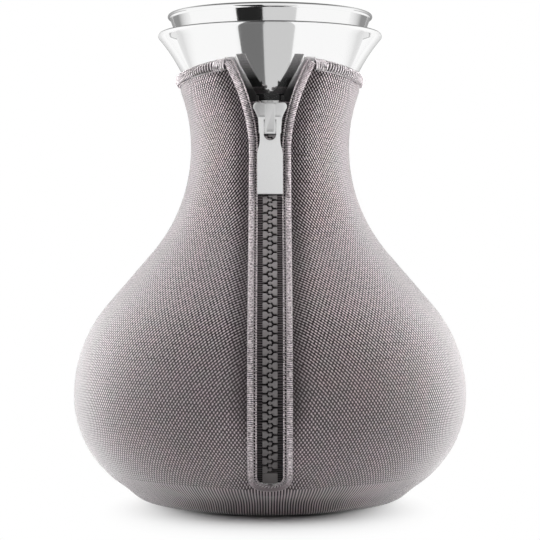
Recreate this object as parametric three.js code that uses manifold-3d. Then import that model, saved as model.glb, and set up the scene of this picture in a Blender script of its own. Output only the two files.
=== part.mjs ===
// Tea maker: a glass carafe in a zipped fabric cover. A steel pouring funnel carries a filter and a plunger.
// Millimetres, +Z up. The origin is the centre of the base on the table, and the zip is at the front, on -Y.

import * as THREE from 'three';
import { mergeVertices } from 'three/addons/utils/BufferGeometryUtils.js';
import Module from 'manifold-3d';

const wasm = await Module();
wasm.setup();

// Clearances: between pieces that touch, and between the glass and the cover
const CLEARANCE = 0.3;
const COVER_GAP = 0.6;

// Outside outline of the fabric cover
const BELLY_RADIUS = 85;
const BELLY_HEIGHT = 46;
const NECK_RADIUS = 34.4;
const NECK_HEIGHT = 153;
const NECK_ARC = 70;
const SLOPE_ANGLE = THREE.MathUtils.degToRad(40.75);
const COVER_THICKNESS = 2.9;
const COVER_LIFT = 0.2;

// Heights above the narrowest place of the neck
const HEM_HEIGHT = 30;
const GLASS_HEIGHT = 47.5;
const SLIDER_HEIGHT = 10.6;
const STEM_TOP = 18;
const STEM_BOTTOM = 5;
const SEAL_TOP = 17.5;
const SEAL_BOTTOM = 2;

// Overlocked hem at the top of the cover, which rises towards the zip
const HEM_RISE = 5;
const HEM_BAND = 3.4;
const HEM_PROUD = 0.5;

// Seam down the back of the cover
const BACK_SEAM_WIDTH = 2.2;
const BACK_SEAM_DEPTH = 2.6;
const BACK_SEAM_START = 3;
const SEAM_PROUD = 0.15;

// Glass carafe
const GLASS_WALL = 2.8;

// Slot in the cover's front and the piping along its edges. The slot spreads from a little below the slider.
const SLOT_BOTTOM = 10.4;
const SLOT_SPREAD = 11.8;
const SPREAD_POWER = 1.8;
const SPREAD_LEAD = 5.84;
const PIPING_WIDTH = 3.6;
const PIPING_HEIGHT = 1.5;

// Zip: tape, moulded teeth and stops
const TAPE_THICKNESS = 0.5;
const TAPE_LEVEL = 1.2;
const TAPE_TAIL = 1.2;
const TOOTH_PITCH = 3.62;
const TOOTH_HEIGHT = 1.4;
const TOOTH_LENGTH = 2.4;
const TOOTH_TIP_LENGTH = 1.2;
const TOOTH_REACH = 0.8;
const CHAIN_HALF_WIDTH = 3;
const CORD_WIDTH = 1.1;
const TAPE_EDGE = 1.5;
const ROW_SPREAD = 3.2;
const STOP_GAP = 2.3;
const STOP_LENGTH = 4.5;
const TOP_STOP_LENGTH = 2;
const TOP_STOP_WIDTH = 1.1;

// Zip slider, its bridge and its puller
const SLIDER_LENGTH = 13.6;
const SLIDER_WIDTH = 9.2;
const SLIDER_SIDE_GAP = 0.6;
const SHOULDER_WIDTH = 13.8;
const SHOULDER_LENGTH = 5.8;
const SHOULDER_CORNER = 0.8;
const SLIDER_PLAY = 0.4;
const SLIDER_PLATE = 1.2;
const BACK_PLATE = 0.45;
const BACK_PLATE_WIDTH = 8.4;
const FLANGE_WIDTH = 1.1;
const FLANGE_LENGTH = 6;
const POST_WIDTH = 1.8;
const POST_LENGTH = 2.2;
const BRIDGE_WIDTH = 3.8;
const BRIDGE_THICKNESS = 1;
const BRIDGE_FILLET = 0.5;
const PULLER_THICKNESS = 1.2;
const PULLER_LENGTH = 32.4;
const PULLER_WIDTH = 11.2;
const PULLER_TOP_WIDTH = 10;
const PULLER_WAIST_WIDTH = 8.8;
const PULLER_WAIST_DROP = 8.5;
const PULLER_PLATE_DROP = 16;
const PULLER_WINDOW_WIDTH = 5.2;
const PULLER_WINDOW_LENGTH = 8.6;
const PULLER_BAR = 1.2;
const PULLER_PLAY = 0.5;

// Steel funnel and its silicone seal. The lip's height is above the glass, the flare's above the stem
const LIP_RADIUS = 44.5;
const LIP_HEIGHT = 10.5;
const LIP_ROLL = 1.1;
const FLARE_RADIUS = 32;
const FLARE_HEIGHT = 6;
const FUNNEL_WALL = 1.2;
const SEAL_WALL = 2.5;

// Filter tube that hangs in the funnel's stem
const LEDGE_WIDTH = 2;
const FILTER_WALL = 0.8;
const FILTER_BOTTOM = 14;
const FLANGE_THICKNESS = 1;
const SLIT_WIDTH = 2.4;
const SLIT_LENGTH = 9;
const SLIT_ROWS = 6;
const SLIT_PAIRS = 5;
const SLIT_FOOT = 26;
const SLIT_STEP = 20;

// Spider that guides the plunger rod
const SPIDER_HEIGHT = 2;
const SPIDER_RIM = 2.5;
const HUB_RADIUS = 6;
const HUB_HEIGHT = 3.6;
const SPIDER_ARM_WIDTH = 3;
const SPIDER_ARMS = 3;

// Plunger: rod, knob, disc, sealing ring and nut
const ROD_RADIUS = 2.5;
const DISC_HEIGHT = 34;
const DISC_THICKNESS = 1.5;
const RING_WIDTH = 0.9;
const RING_HEIGHT = 2.5;
const NUT_RADIUS = 5;
const NUT_HEIGHT = 3.7;
const KNOB_STEM_RADIUS = 5;
const KNOB_STEM_LENGTH = 19;
const KNOB_RADIUS = 10;
const KNOB_HEIGHT = 39;
const KNOB_FLARE = 7;
const KNOB_DOME = 2.5;

// Facets
const ROUND_STEPS = 32;
const TUBE_STEPS = 24;
const SMALL_STEPS = 16;
const PANEL_COLUMNS = 18;
const PLATE_COLUMNS = 4;
const ROW_STEP = 10;
const STRAIGHT_ROWS = 2;
const ROUND_END_ROWS = 5;
const UPPER_ROWS = 5;
const HEM_STEPS = 32;
const FLARE_STEPS = 6;
const CURVE_STEPS = 4;
const NUT_SIDES = 6;
const WELD = 1e-4;

// Materials
function finish(colour, roughness, metalness, opacity = 1) {
  return new THREE.MeshStandardMaterial({
    color: colour, roughness, metalness, opacity, transparent: opacity < 1,
  });
}
const clearGlass = finish(0xf2f6f6, 0.03, 0, 0.3);
const wovenCover = finish(0x6b6366, 0.9, 0);
const edging = finish(0x5a5255, 0.85, 0);
const zipTape = finish(0x2d282a, 0.9, 0);
const zipPlastic = finish(0x6c6768, 0.5, 0);
const satinZinc = finish(0xd6d6d6, 0.35, 1);
const polishedSteel = finish(0xdfe1e3, 0.12, 1);
const blackSilicone = finish(0x1c1c1e, 0.6, 0);
const blackNylon = finish(0x232325, 0.5, 0);

const teaMaker = new THREE.Group();

function addPiece(name, geometry, material) {
  const mesh = new THREE.Mesh(geometry, material);
  mesh.name = name;
  teaMaker.add(mesh);
  return mesh;
}

// Closed meshes

function signedVolume(geometry) {
  const position = geometry.getAttribute('position');
  const index = geometry.getIndex();
  const a = new THREE.Vector3();
  const b = new THREE.Vector3();
  const c = new THREE.Vector3();
  let volume = 0;
  for (let i = 0; i < index.count; i += 3) {
    a.fromBufferAttribute(position, index.getX(i));
    b.fromBufferAttribute(position, index.getX(i + 1));
    c.fromBufferAttribute(position, index.getX(i + 2));
    volume += a.dot(b.cross(c)) / 6;
  }
  return volume;
}

// Gives a closed mesh with shared corners, its faces pointing out.
function closed(geometry) {
  const plain = new THREE.BufferGeometry();
  plain.setAttribute('position', geometry.getAttribute('position'));
  plain.setIndex(geometry.getIndex());
  const merged = mergeVertices(plain, WELD);
  const index = Array.from(merged.getIndex().array);
  const corners = [];
  for (let i = 0; i < index.length; i += 3) {
    const [a, b, c] = index.slice(i, i + 3);
    if (a !== b && b !== c && c !== a) {
      corners.push(a, b, c);
    }
  }
  merged.setIndex(corners);
  if (signedVolume(merged) < 0) {
    merged.setIndex(corners.reverse());
  }
  merged.computeVertexNormals();
  return merged;
}

// Joins rings of points into a closed body. Each ring goes out along one side of a strip and back along
// the other, so the first point pairs with the last, and the pairs close the two ends.
function loft(rings) {
  const size = rings[0].length;
  const points = rings.flat();
  const corners = [];
  const quad = (a, b, c, d) => corners.push(a, b, c, a, c, d);
  for (let row = 0; row + 1 < rings.length; row += 1) {
    for (let i = 0; i < size; i += 1) {
      const next = (i + 1) % size;
      const low = row * size;
      const high = low + size;
      quad(low + i, low + next, high + next, high + i);
    }
  }
  const last = (rings.length - 1) * size;
  for (let i = 0; i + 1 < size / 2; i += 1) {
    const pair = size - 1 - i;
    quad(i, pair, pair - 1, i + 1);
    quad(last + i, last + i + 1, last + pair - 1, last + pair);
  }
  const geometry = new THREE.BufferGeometry().setFromPoints(points);
  geometry.setIndex(corners);
  return closed(geometry);
}

// Turns a closed profile of [radius, height] pairs round the Z axis.
function turned(profile, facets = ROUND_STEPS) {
  const points = profile.map(([radius, height]) => new THREE.Vector2(radius, height));
  const geometry = new THREE.LatheGeometry(points, facets);
  geometry.rotateX(Math.PI / 2);
  return closed(geometry);
}

// A turned ring with a rectangular section
function ring(inner, outer, low, high, facets = ROUND_STEPS) {
  return turned([[inner, low], [outer, low], [outer, high], [inner, high], [inner, low]], facets);
}

function solid(geometry) {
  return new wasm.Manifold(new wasm.Mesh({
    numProp: 3,
    vertProperties: new Float32Array(geometry.getAttribute('position').array),
    triVerts: new Uint32Array(geometry.getIndex().array),
  }));
}

function meshOf(body) {
  const { vertProperties, triVerts } = body.getMesh();
  const geometry = new THREE.BufferGeometry();
  geometry.setAttribute('position', new THREE.BufferAttribute(new Float32Array(vertProperties), 3));
  geometry.setIndex(new THREE.BufferAttribute(new Uint32Array(triVerts), 1));
  geometry.computeVertexNormals();
  return geometry;
}

function joined(geometries) {
  return meshOf(geometries.map(solid).reduce((all, body) => all.add(body)));
}

function steps(from, to, count) {
  return Array.from({ length: count + 1 }, (_, i) => THREE.MathUtils.lerp(from, to, i / count));
}

// Outline of the cover: a base arc, a belly arc, a straight slope and a hollow neck arc, each tangent to
// the next. A place on it is its distance along the outline from the edge of the base.

const baseArc = BELLY_HEIGHT - COVER_LIFT;
const baseRadius = BELLY_RADIUS - baseArc;
const neckAxis = NECK_RADIUS + NECK_ARC;
const slopeCos = Math.cos(SLOPE_ANGLE);
const slopeSin = Math.sin(SLOPE_ANGLE);
const bellyArc = (
  slopeCos * (neckAxis - BELLY_RADIUS) + slopeSin * (NECK_HEIGHT - BELLY_HEIGHT) - NECK_ARC
) / (1 - slopeCos);
const bellyAxis = BELLY_RADIUS - bellyArc;
const slopeFoot = [bellyAxis + bellyArc * slopeCos, BELLY_HEIGHT + bellyArc * slopeSin];
const slopeHead = [neckAxis - NECK_ARC * slopeCos, NECK_HEIGHT - NECK_ARC * slopeSin];
const slopeLength = Math.hypot(slopeHead[0] - slopeFoot[0], slopeHead[1] - slopeFoot[1]);
const baseEnd = baseArc * Math.PI / 2;
const bellyEnd = baseEnd + bellyArc * SLOPE_ANGLE;
const slopeEnd = bellyEnd + slopeLength;

// Point and outward normal of the outline at a distance along it
function outlineAt(along) {
  if (along < baseEnd) {
    const angle = along / baseArc - Math.PI / 2;
    const normal = [Math.cos(angle), Math.sin(angle)];
    return { radius: baseRadius + baseArc * normal[0], height: BELLY_HEIGHT + baseArc * normal[1], normal };
  }
  if (along < bellyEnd) {
    const angle = (along - baseEnd) / bellyArc;
    const normal = [Math.cos(angle), Math.sin(angle)];
    return { radius: bellyAxis + bellyArc * normal[0], height: BELLY_HEIGHT + bellyArc * normal[1], normal };
  }
  if (along < slopeEnd) {
    const share = (along - bellyEnd) / slopeLength;
    return {
      radius: THREE.MathUtils.lerp(slopeFoot[0], slopeHead[0], share),
      height: THREE.MathUtils.lerp(slopeFoot[1], slopeHead[1], share),
      normal: [slopeCos, slopeSin],
    };
  }
  const angle = (along - slopeEnd) / NECK_ARC - SLOPE_ANGLE;
  const normal = [Math.cos(angle), -Math.sin(angle)];
  return { radius: neckAxis - NECK_ARC * normal[0], height: NECK_HEIGHT - NECK_ARC * normal[1], normal };
}

// Distance along the outline of the place at a height
function alongAt(height) {
  if (height < BELLY_HEIGHT) {
    return baseArc * (Math.asin((height - BELLY_HEIGHT) / baseArc) + Math.PI / 2);
  }
  if (height < slopeFoot[1]) {
    return baseEnd + bellyArc * Math.asin((height - BELLY_HEIGHT) / bellyArc);
  }
  if (height < slopeHead[1]) {
    return bellyEnd + slopeLength * (height - slopeFoot[1]) / (slopeHead[1] - slopeFoot[1]);
  }
  return slopeEnd + NECK_ARC * (Math.asin((height - NECK_HEIGHT) / NECK_ARC) + SLOPE_ANGLE);
}

// Places along the outline, close enough for its curves, with each change of curve among them
function rowsBetween(from, to) {
  const joins = [baseEnd, bellyEnd, slopeEnd].filter((join) => join > from && join < to);
  const ends = [from, ...joins, to];
  return ends.slice(1).flatMap((end, i) => {
    const straight = ends[i] >= bellyEnd && end <= slopeEnd;
    const count = straight ? STRAIGHT_ROWS : Math.ceil((end - ends[i]) / ROW_STEP);
    return steps(ends[i], end, count).slice(i === 0 ? 0 : 1);
  });
}

// The glass lies under the cover. A level is the distance out from the glass.
const coverLevel = COVER_GAP + COVER_THICKNESS;

function sectionAt(along, level) {
  const { radius, height, normal } = outlineAt(along);
  const inset = coverLevel - level;
  return [radius - inset * normal[0], height - inset * normal[1]];
}

// Point at a turn from the front, counted towards +X
function roundAt(along, turn, level) {
  const [radius, height] = sectionAt(along, level);
  return new THREE.Vector3(radius * Math.sin(turn), -radius * Math.cos(turn), height);
}

// Point at a sideways distance from the front line
function frontAt(along, sideways, level) {
  return roundAt(along, sideways / outlineAt(along).radius, level);
}

function backAt(along, sideways, level) {
  return roundAt(along, Math.PI + sideways / outlineAt(along).radius, level);
}

// Ring of points round a flat strip that lies across the front
function stripRing(along, left, right, low, high, columns = 1) {
  const across = steps(left, right, columns);
  const under = across.map((sideways) => frontAt(along, sideways, low));
  const over = across.map((sideways) => frontAt(along, sideways, high));
  return [...under, ...over.reverse()];
}

// Slot in the cover: round at the bottom, parallel up the belly, spreading above the neck.

function hemHeight(turn) {
  return NECK_HEIGHT + HEM_HEIGHT + HEM_RISE * Math.max(0, Math.cos(turn)) ** 2;
}

const sliderCentre = alongAt(NECK_HEIGHT + SLIDER_HEIGHT);
const sliderFoot = sliderCentre - SLIDER_LENGTH / 2;
const sliderHead = sliderCentre + SLIDER_LENGTH / 2;
const slotWidth = SLIDER_WIDTH + 2 * (SLIDER_SIDE_GAP + PIPING_WIDTH + CLEARANCE);
const slotFoot = alongAt(SLOT_BOTTOM);
const slotCentre = slotFoot + slotWidth / 2;
const slotTop = alongAt(hemHeight(0));
const spreadStart = sliderFoot - SPREAD_LEAD;

function slotHalf(along) {
  if (along <= slotFoot) {
    return CLEARANCE / 2;
  }
  if (along < slotCentre) {
    return Math.max(CLEARANCE / 2, Math.sqrt((slotWidth / 2) ** 2 - (slotCentre - along) ** 2));
  }
  const share = Math.max(0, (along - spreadStart) / (slotTop - spreadStart));
  return slotWidth / 2 + SLOT_SPREAD * share ** SPREAD_POWER;
}

function slotTurn(along) {
  return slotHalf(along) / outlineAt(along).radius;
}

function panelTop(turn) {
  return alongAt(hemHeight(turn)) - HEM_BAND - CLEARANCE;
}

// Cover panels, one each side, from the slot round to the back seam

const slotEnd = steps(0, Math.PI / 2, ROUND_END_ROWS).map((angle) => (
  slotCentre - slotWidth / 2 * Math.cos(angle)
));
const lowerRows = [
  ...rowsBetween(0, slotFoot),
  ...slotEnd.slice(1),
  ...rowsBetween(slotCentre, spreadStart).slice(1),
];

function coverPanel(side) {
  const rows = [
    ...lowerRows.map((along) => ({ edge: along, place: () => along })),
    ...steps(0, 1, UPPER_ROWS).slice(1).map((share) => {
      const place = (turn) => THREE.MathUtils.lerp(spreadStart, panelTop(turn), share);
      return { edge: place(slotTurn(panelTop(0))), place };
    }),
  ];
  const rings = rows.map(({ edge, place }) => {
    const backGap = BACK_SEAM_WIDTH / 2 + CLEARANCE;
    const turns = steps(slotTurn(edge), Math.PI - backGap / outlineAt(edge).radius, PANEL_COLUMNS);
    const outside = turns.map((turn) => roundAt(place(turn), side * turn, coverLevel));
    const inside = turns.map((turn) => roundAt(place(turn), side * turn, COVER_GAP));
    return [...outside, ...inside.reverse()];
  });
  return loft(rings);
}

addPiece('cover_left_panel', coverPanel(-1), wovenCover);
addPiece('cover_right_panel', coverPanel(1), wovenCover);
addPiece('cover_base', turned([
  [0, 0],
  [baseRadius - CLEARANCE, 0],
  [baseRadius - CLEARANCE, COVER_LIFT + COVER_THICKNESS],
  [0, COVER_LIFT + COVER_THICKNESS],
]), wovenCover);

// A flat strip with a rounded top, sewn along a line on the cover
function beadSection(place, halfWidth, low, high) {
  const shoulder = (low + high) / 2;
  return [
    place(-halfWidth, low),
    place(-halfWidth, shoulder),
    place(-halfWidth / 2, high),
    place(halfWidth / 2, high),
    place(halfWidth, shoulder),
    place(halfWidth, low),
  ];
}

const backSeamHigh = coverLevel + SEAM_PROUD;
addPiece('back_seam', loft(rowsBetween(BACK_SEAM_START, panelTop(Math.PI)).map((along) => beadSection(
  (sideways, level) => backAt(along, sideways, level),
  BACK_SEAM_WIDTH / 2,
  backSeamHigh - BACK_SEAM_DEPTH,
  backSeamHigh,
))), edging);

// Hem along the top of both panels, from one side of the slot round the back to the other
const hemEnd = slotTurn(slotTop);
addPiece('neck_hem', loft(steps(hemEnd, 2 * Math.PI - hemEnd, HEM_STEPS).map((turn) => {
  const low = panelTop(turn) + CLEARANCE;
  const middle = low + HEM_BAND / 2;
  return beadSection(
    (sideways, level) => roundAt(middle + sideways, turn, level),
    HEM_BAND / 2,
    COVER_GAP,
    coverLevel + HEM_PROUD,
  );
})), edging);

// Piping down one edge of the slot, round its bottom and up the other edge

const pipingInset = CLEARANCE + PIPING_WIDTH / 2;
const pipingLow = TAPE_LEVEL + TAPE_THICKNESS + CLEARANCE;
const pipingHigh = pipingLow + PIPING_HEIGHT;
const straightRows = [
  ...rowsBetween(slotCentre, spreadStart),
  ...steps(spreadStart, slotTop, UPPER_ROWS).slice(1),
];
const pipingSide = straightRows.map((along) => new THREE.Vector2(along, slotHalf(along) - pipingInset));
const pipingTurn = steps(0, Math.PI, 2 * ROUND_END_ROWS).slice(1, -1).map((angle) => {
  const reach = slotWidth / 2 - pipingInset;
  return new THREE.Vector2(slotCentre - reach * Math.sin(angle), -reach * Math.cos(angle));
});
const pipingLine = [
  ...pipingSide.map((place) => new THREE.Vector2(place.x, -place.y)).reverse(),
  ...pipingTurn,
  ...pipingSide,
];
addPiece('zip_piping', loft(pipingLine.map((place, i) => {
  const before = pipingLine[Math.max(0, i - 1)];
  const after = pipingLine[Math.min(pipingLine.length - 1, i + 1)];
  const run = after.clone().sub(before).normalize();
  return beadSection(
    (across, level) => frontAt(place.x + across * run.y, place.y - across * run.x, level),
    PIPING_WIDTH / 2,
    pipingLow,
    pipingHigh,
  );
})), edging);

// Zip rows: closed up to the slider, parting inside it, turned away along the slot's edges above it

const partingStart = sliderFoot + FLANGE_LENGTH;
const tapeTop = slotTop - HEM_BAND / 2;

function rowOffset(along) {
  const share = (along - partingStart) / (sliderHead - partingStart);
  return ROW_SPREAD * Math.max(0, share);
}

function tapeInner(along) {
  if (along < sliderHead) {
    return rowOffset(along) + TAPE_EDGE;
  }
  const share = (along - sliderHead) / (tapeTop - sliderHead);
  const top = slotHalf(tapeTop) - CLEARANCE - PIPING_WIDTH;
  return THREE.MathUtils.lerp(ROW_SPREAD + TAPE_EDGE, top, share);
}

const zipFoot = slotFoot + CLEARANCE + PIPING_WIDTH + STOP_GAP;
const tapeFoot = zipFoot - TAPE_TAIL;
const tapeRows = [
  ...rowsBetween(tapeFoot, partingStart),
  ...steps(partingStart, sliderHead, CURVE_STEPS).slice(1),
  ...steps(sliderHead, tapeTop, UPPER_ROWS).slice(1),
];

function tape(side) {
  return loft(tapeRows.map((along) => stripRing(
    along,
    side * tapeInner(along),
    side * (slotHalf(along) - CLEARANCE),
    TAPE_LEVEL,
    TAPE_LEVEL + TAPE_THICKNESS,
  )));
}

addPiece('zip_tape_left', tape(-1), zipTape);
addPiece('zip_tape_right', tape(1), zipTape);

const toothLow = TAPE_LEVEL + TAPE_THICKNESS + CLEARANCE;
const toothHigh = toothLow + TOOTH_HEIGHT;
const stopTop = outlineAt(zipFoot).height + STOP_LENGTH;

// A row of teeth moulded on the cord along the tape's edge, each narrowing to a tip past the chain's middle
function teethRow(side, firstHeight) {
  const headHeight = outlineAt(sliderHead).height;
  const count = Math.floor((headHeight - TOOTH_LENGTH / 2 - firstHeight) / TOOTH_PITCH) + 1;
  const cordInner = CHAIN_HALF_WIDTH - CORD_WIDTH;
  const edges = Array.from({ length: count }, (_, i) => firstHeight + i * TOOTH_PITCH).flatMap((height) => [
    [height - TOOTH_LENGTH / 2, cordInner],
    [height - TOOTH_TIP_LENGTH / 2, -TOOTH_REACH],
    [height + TOOTH_TIP_LENGTH / 2, -TOOTH_REACH],
    [height + TOOTH_LENGTH / 2, cordInner],
  ]);
  return loft(edges.map(([height, inner]) => {
    const along = alongAt(height);
    const offset = rowOffset(along);
    return stripRing(along, side * (offset + inner), side * (offset + CHAIN_HALF_WIDTH), toothLow, toothHigh);
  }));
}

const firstTooth = stopTop + CLEARANCE + TOOTH_LENGTH / 2;
addPiece('zip_teeth_left', teethRow(-1, firstTooth), zipPlastic);
addPiece('zip_teeth_right', teethRow(1, firstTooth + TOOTH_PITCH / 2), zipPlastic);

// A block on the zip between two places along it and two sideways distances
function zipBlock(from, to, left, right, low, high, columns = 1) {
  const rows = steps(from, to, PLATE_COLUMNS);
  return loft(rows.map((along) => stripRing(along, left, right, low, high, columns)));
}

const topStopFoot = sliderHead + CLEARANCE;
const topStopInner = tapeInner(topStopFoot);
function topStop(side) {
  const edges = [side * topStopInner, side * (topStopInner + TOP_STOP_WIDTH)];
  return zipBlock(topStopFoot, topStopFoot + TOP_STOP_LENGTH, ...edges, toothLow, toothHigh);
}

addPiece('zip_top_stop_left', topStop(-1), zipPlastic);
addPiece('zip_top_stop_right', topStop(1), zipPlastic);
addPiece('zip_bottom_stop', zipBlock(
  zipFoot,
  alongAt(stopTop),
  -CHAIN_HALF_WIDTH,
  CHAIN_HALF_WIDTH,
  toothLow,
  toothHigh,
), zipPlastic);

// Slider: a front and a back plate joined by the post that parts the rows, with flanges that close them

const plateLow = pipingHigh + SLIDER_PLAY;
const plateHigh = plateLow + SLIDER_PLATE;
const flangeLow = TAPE_LEVEL + TAPE_THICKNESS + CLEARANCE;
const backLow = (TAPE_LEVEL - BACK_PLATE) / 2;
const backHigh = backLow + BACK_PLATE;

const plateOutline = [
  [sliderFoot, SLIDER_WIDTH / 2 - SHOULDER_CORNER],
  [sliderFoot + SHOULDER_CORNER, SLIDER_WIDTH / 2],
  [sliderHead - SHOULDER_LENGTH, SLIDER_WIDTH / 2],
  [sliderHead - SHOULDER_LENGTH / 2, (SLIDER_WIDTH + SHOULDER_WIDTH) / 4],
  [sliderHead - SHOULDER_CORNER, SHOULDER_WIDTH / 2],
  [sliderHead, SHOULDER_WIDTH / 2 - SHOULDER_CORNER],
];
const frontPlate = loft(plateOutline.map(([along, half]) => (
  stripRing(along, -half, half, plateLow, plateHigh, PLATE_COLUMNS)
)));
const plateMiddle = (plateLow + plateHigh) / 2;
const flanges = [-1, 1].map((side) => zipBlock(
  sliderFoot + SHOULDER_CORNER,
  sliderFoot + FLANGE_LENGTH,
  side * (SLIDER_WIDTH / 2 - FLANGE_WIDTH),
  side * SLIDER_WIDTH / 2,
  flangeLow,
  plateMiddle,
));
const post = zipBlock(
  sliderHead - POST_LENGTH,
  sliderHead,
  -POST_WIDTH / 2,
  POST_WIDTH / 2,
  (backLow + backHigh) / 2,
  plateMiddle,
);
const backPlate = zipBlock(
  sliderFoot,
  sliderHead,
  -BACK_PLATE_WIDTH / 2,
  BACK_PLATE_WIDTH / 2,
  backLow,
  backHigh,
  PLATE_COLUMNS,
);
addPiece('slider_body', joined([frontPlate, backPlate, post, ...flanges]), satinZinc);

// Puller: a flat plate whose top bar turns under the bridge

const pivotLevel = plateHigh + PULLER_PLAY + PULLER_THICKNESS / 2;
const [pivotRadius, pivotHeight] = sectionAt(sliderCentre, pivotLevel);

function pullerOutline() {
  const shape = new THREE.Shape();
  const half = PULLER_WIDTH / 2;
  const waist = PULLER_WAIST_WIDTH / 2;
  const top = PULLER_TOP_WIDTH / 2;
  const waistPull = PULLER_WAIST_DROP / 2;
  const platePull = (PULLER_PLATE_DROP - PULLER_WAIST_DROP) / 2;
  shape.moveTo(-top, PULLER_BAR / 2);
  shape.bezierCurveTo(-top, -waistPull, -waist, -waistPull, -waist, -PULLER_WAIST_DROP);
  shape.bezierCurveTo(
    -waist, -PULLER_WAIST_DROP - platePull, -half, -PULLER_PLATE_DROP + platePull, -half, -PULLER_PLATE_DROP,
  );
  shape.lineTo(-half, -PULLER_LENGTH);
  shape.lineTo(half, -PULLER_LENGTH);
  shape.lineTo(half, -PULLER_PLATE_DROP);
  shape.bezierCurveTo(
    half, -PULLER_PLATE_DROP + platePull, waist, -PULLER_WAIST_DROP - platePull, waist, -PULLER_WAIST_DROP,
  );
  shape.bezierCurveTo(waist, -waistPull, top, -waistPull, top, PULLER_BAR / 2);
  shape.closePath();
  const window = new THREE.Path();
  const radius = PULLER_WINDOW_WIDTH / 2;
  const bottom = -PULLER_BAR / 2 - PULLER_WINDOW_LENGTH + radius;
  window.moveTo(-radius, -PULLER_BAR / 2);
  window.lineTo(-radius, bottom);
  window.absarc(0, bottom, radius, Math.PI, 2 * Math.PI, false);
  window.lineTo(radius, -PULLER_BAR / 2);
  window.closePath();
  shape.holes.push(window);
  return shape;
}

const plate = new THREE.ExtrudeGeometry(pullerOutline(), {
  depth: PULLER_THICKNESS,
  bevelEnabled: false,
  curveSegments: CURVE_STEPS,
});
plate.translate(0, 0, -PULLER_THICKNESS / 2);
const tipLevel = pipingHigh + PULLER_PLAY + PULLER_THICKNESS / 2;
const [tipRadius, tipHeight] = sectionAt(alongAt(pivotHeight - PULLER_LENGTH), tipLevel);
const puller = addPiece('zip_puller', closed(plate), satinZinc);
puller.position.set(0, -pivotRadius, pivotHeight);
puller.rotation.x = Math.PI / 2 - Math.atan2(tipRadius - pivotRadius, pivotHeight - tipHeight);

// Bridge: a strap over the puller's bar, standing on the slider's front plate
const bridgeInside = pivotLevel + Math.hypot(PULLER_THICKNESS, PULLER_BAR) / 2 + CLEARANCE;
const bridgeHigh = bridgeInside + BRIDGE_THICKNESS;
const bridgeLow = plateHigh + CLEARANCE;
addPiece('slider_bridge', loft([-1, 1].map((side) => [
  [sliderFoot, bridgeLow],
  [sliderFoot, bridgeInside],
  [sliderFoot + BRIDGE_THICKNESS, bridgeHigh],
  [sliderHead - BRIDGE_THICKNESS, bridgeHigh],
  [sliderHead, bridgeInside],
  [sliderHead, bridgeLow],
  [sliderHead - BRIDGE_THICKNESS, bridgeLow],
  [sliderHead - BRIDGE_THICKNESS, bridgeInside - BRIDGE_FILLET],
  [sliderHead - BRIDGE_THICKNESS - BRIDGE_FILLET, bridgeInside],
  [sliderFoot + BRIDGE_THICKNESS + BRIDGE_FILLET, bridgeInside],
  [sliderFoot + BRIDGE_THICKNESS, bridgeInside - BRIDGE_FILLET],
  [sliderFoot + BRIDGE_THICKNESS, bridgeLow],
].map(([along, level]) => frontAt(along, side * BRIDGE_WIDTH / 2, level)))), satinZinc);

// Glass carafe: the same outline under the cover, carried on up to a rounded rim

const glassArc = NECK_ARC + coverLevel;
const rimAngle = Math.asin(GLASS_HEIGHT / glassArc);
const rimAlong = slopeEnd + NECK_ARC * (rimAngle + SLOPE_ANGLE);
const wallRows = rowsBetween(0, rimAlong);
const rim = steps(0, Math.PI, CURVE_STEPS).slice(1, -1).map((angle) => {
  const level = -GLASS_WALL / 2 + Math.cos(angle) * GLASS_WALL / 2;
  const [radius, height] = sectionAt(rimAlong, level);
  const lift = Math.sin(angle) * GLASS_WALL / 2;
  return [radius + lift * Math.sin(rimAngle), height + lift * Math.cos(rimAngle)];
});
const glassOutside = wallRows.map((along) => sectionAt(along, 0));
const glassInside = wallRows.map((along) => sectionAt(along, -GLASS_WALL));
addPiece('glass_carafe', turned([
  [0, glassOutside[0][1]],
  ...glassOutside,
  ...rim,
  ...glassInside.reverse(),
  [0, sectionAt(0, -GLASS_WALL)[1]],
]), clearGlass);

// Pouring funnel: a rolled lip, a flare and a straight stem with a ledge for the filter

const neckInside = NECK_RADIUS - coverLevel - GLASS_WALL;
const stemRadius = neckInside - SEAL_WALL - 2 * CLEARANCE;
const stemTop = NECK_HEIGHT + STEM_TOP;
const stemBottom = NECK_HEIGHT + STEM_BOTTOM;
const lipTop = NECK_HEIGHT + GLASS_HEIGHT + LIP_HEIGHT;
const flare = new THREE.QuadraticBezierCurve(
  new THREE.Vector2(stemRadius, stemTop),
  new THREE.Vector2(FLARE_RADIUS, stemTop + FLARE_HEIGHT),
  new THREE.Vector2(LIP_RADIUS - LIP_ROLL, lipTop - 2 * LIP_ROLL),
);
const flareSteps = steps(0, 1, FLARE_STEPS);
const flareOutside = flareSteps.map((share) => flare.getPoint(share).toArray());
const flareInside = flareSteps.map((share) => {
  const point = flare.getPoint(share);
  const along = flare.getTangent(share);
  return [point.x - FUNNEL_WALL * along.y, point.y + FUNNEL_WALL * along.x];
});
const lipRoll = steps(-Math.PI / 2, Math.PI / 2, CURVE_STEPS).slice(1).map((angle) => [
  LIP_RADIUS - LIP_ROLL + LIP_ROLL * Math.cos(angle),
  lipTop - LIP_ROLL + LIP_ROLL * Math.sin(angle),
]);
const stemInside = stemRadius - FUNNEL_WALL;
const ledgeRadius = stemInside - LEDGE_WIDTH;
const ledgeTop = stemBottom + FUNNEL_WALL;
addPiece('pouring_funnel', turned([
  [ledgeRadius, stemBottom],
  [stemRadius, stemBottom],
  ...flareOutside,
  ...lipRoll,
  ...flareInside.slice(1).reverse(),
  [stemInside, stemTop],
  [stemInside, ledgeTop],
  [ledgeRadius, ledgeTop],
  [ledgeRadius, stemBottom],
]), polishedSteel);

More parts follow.
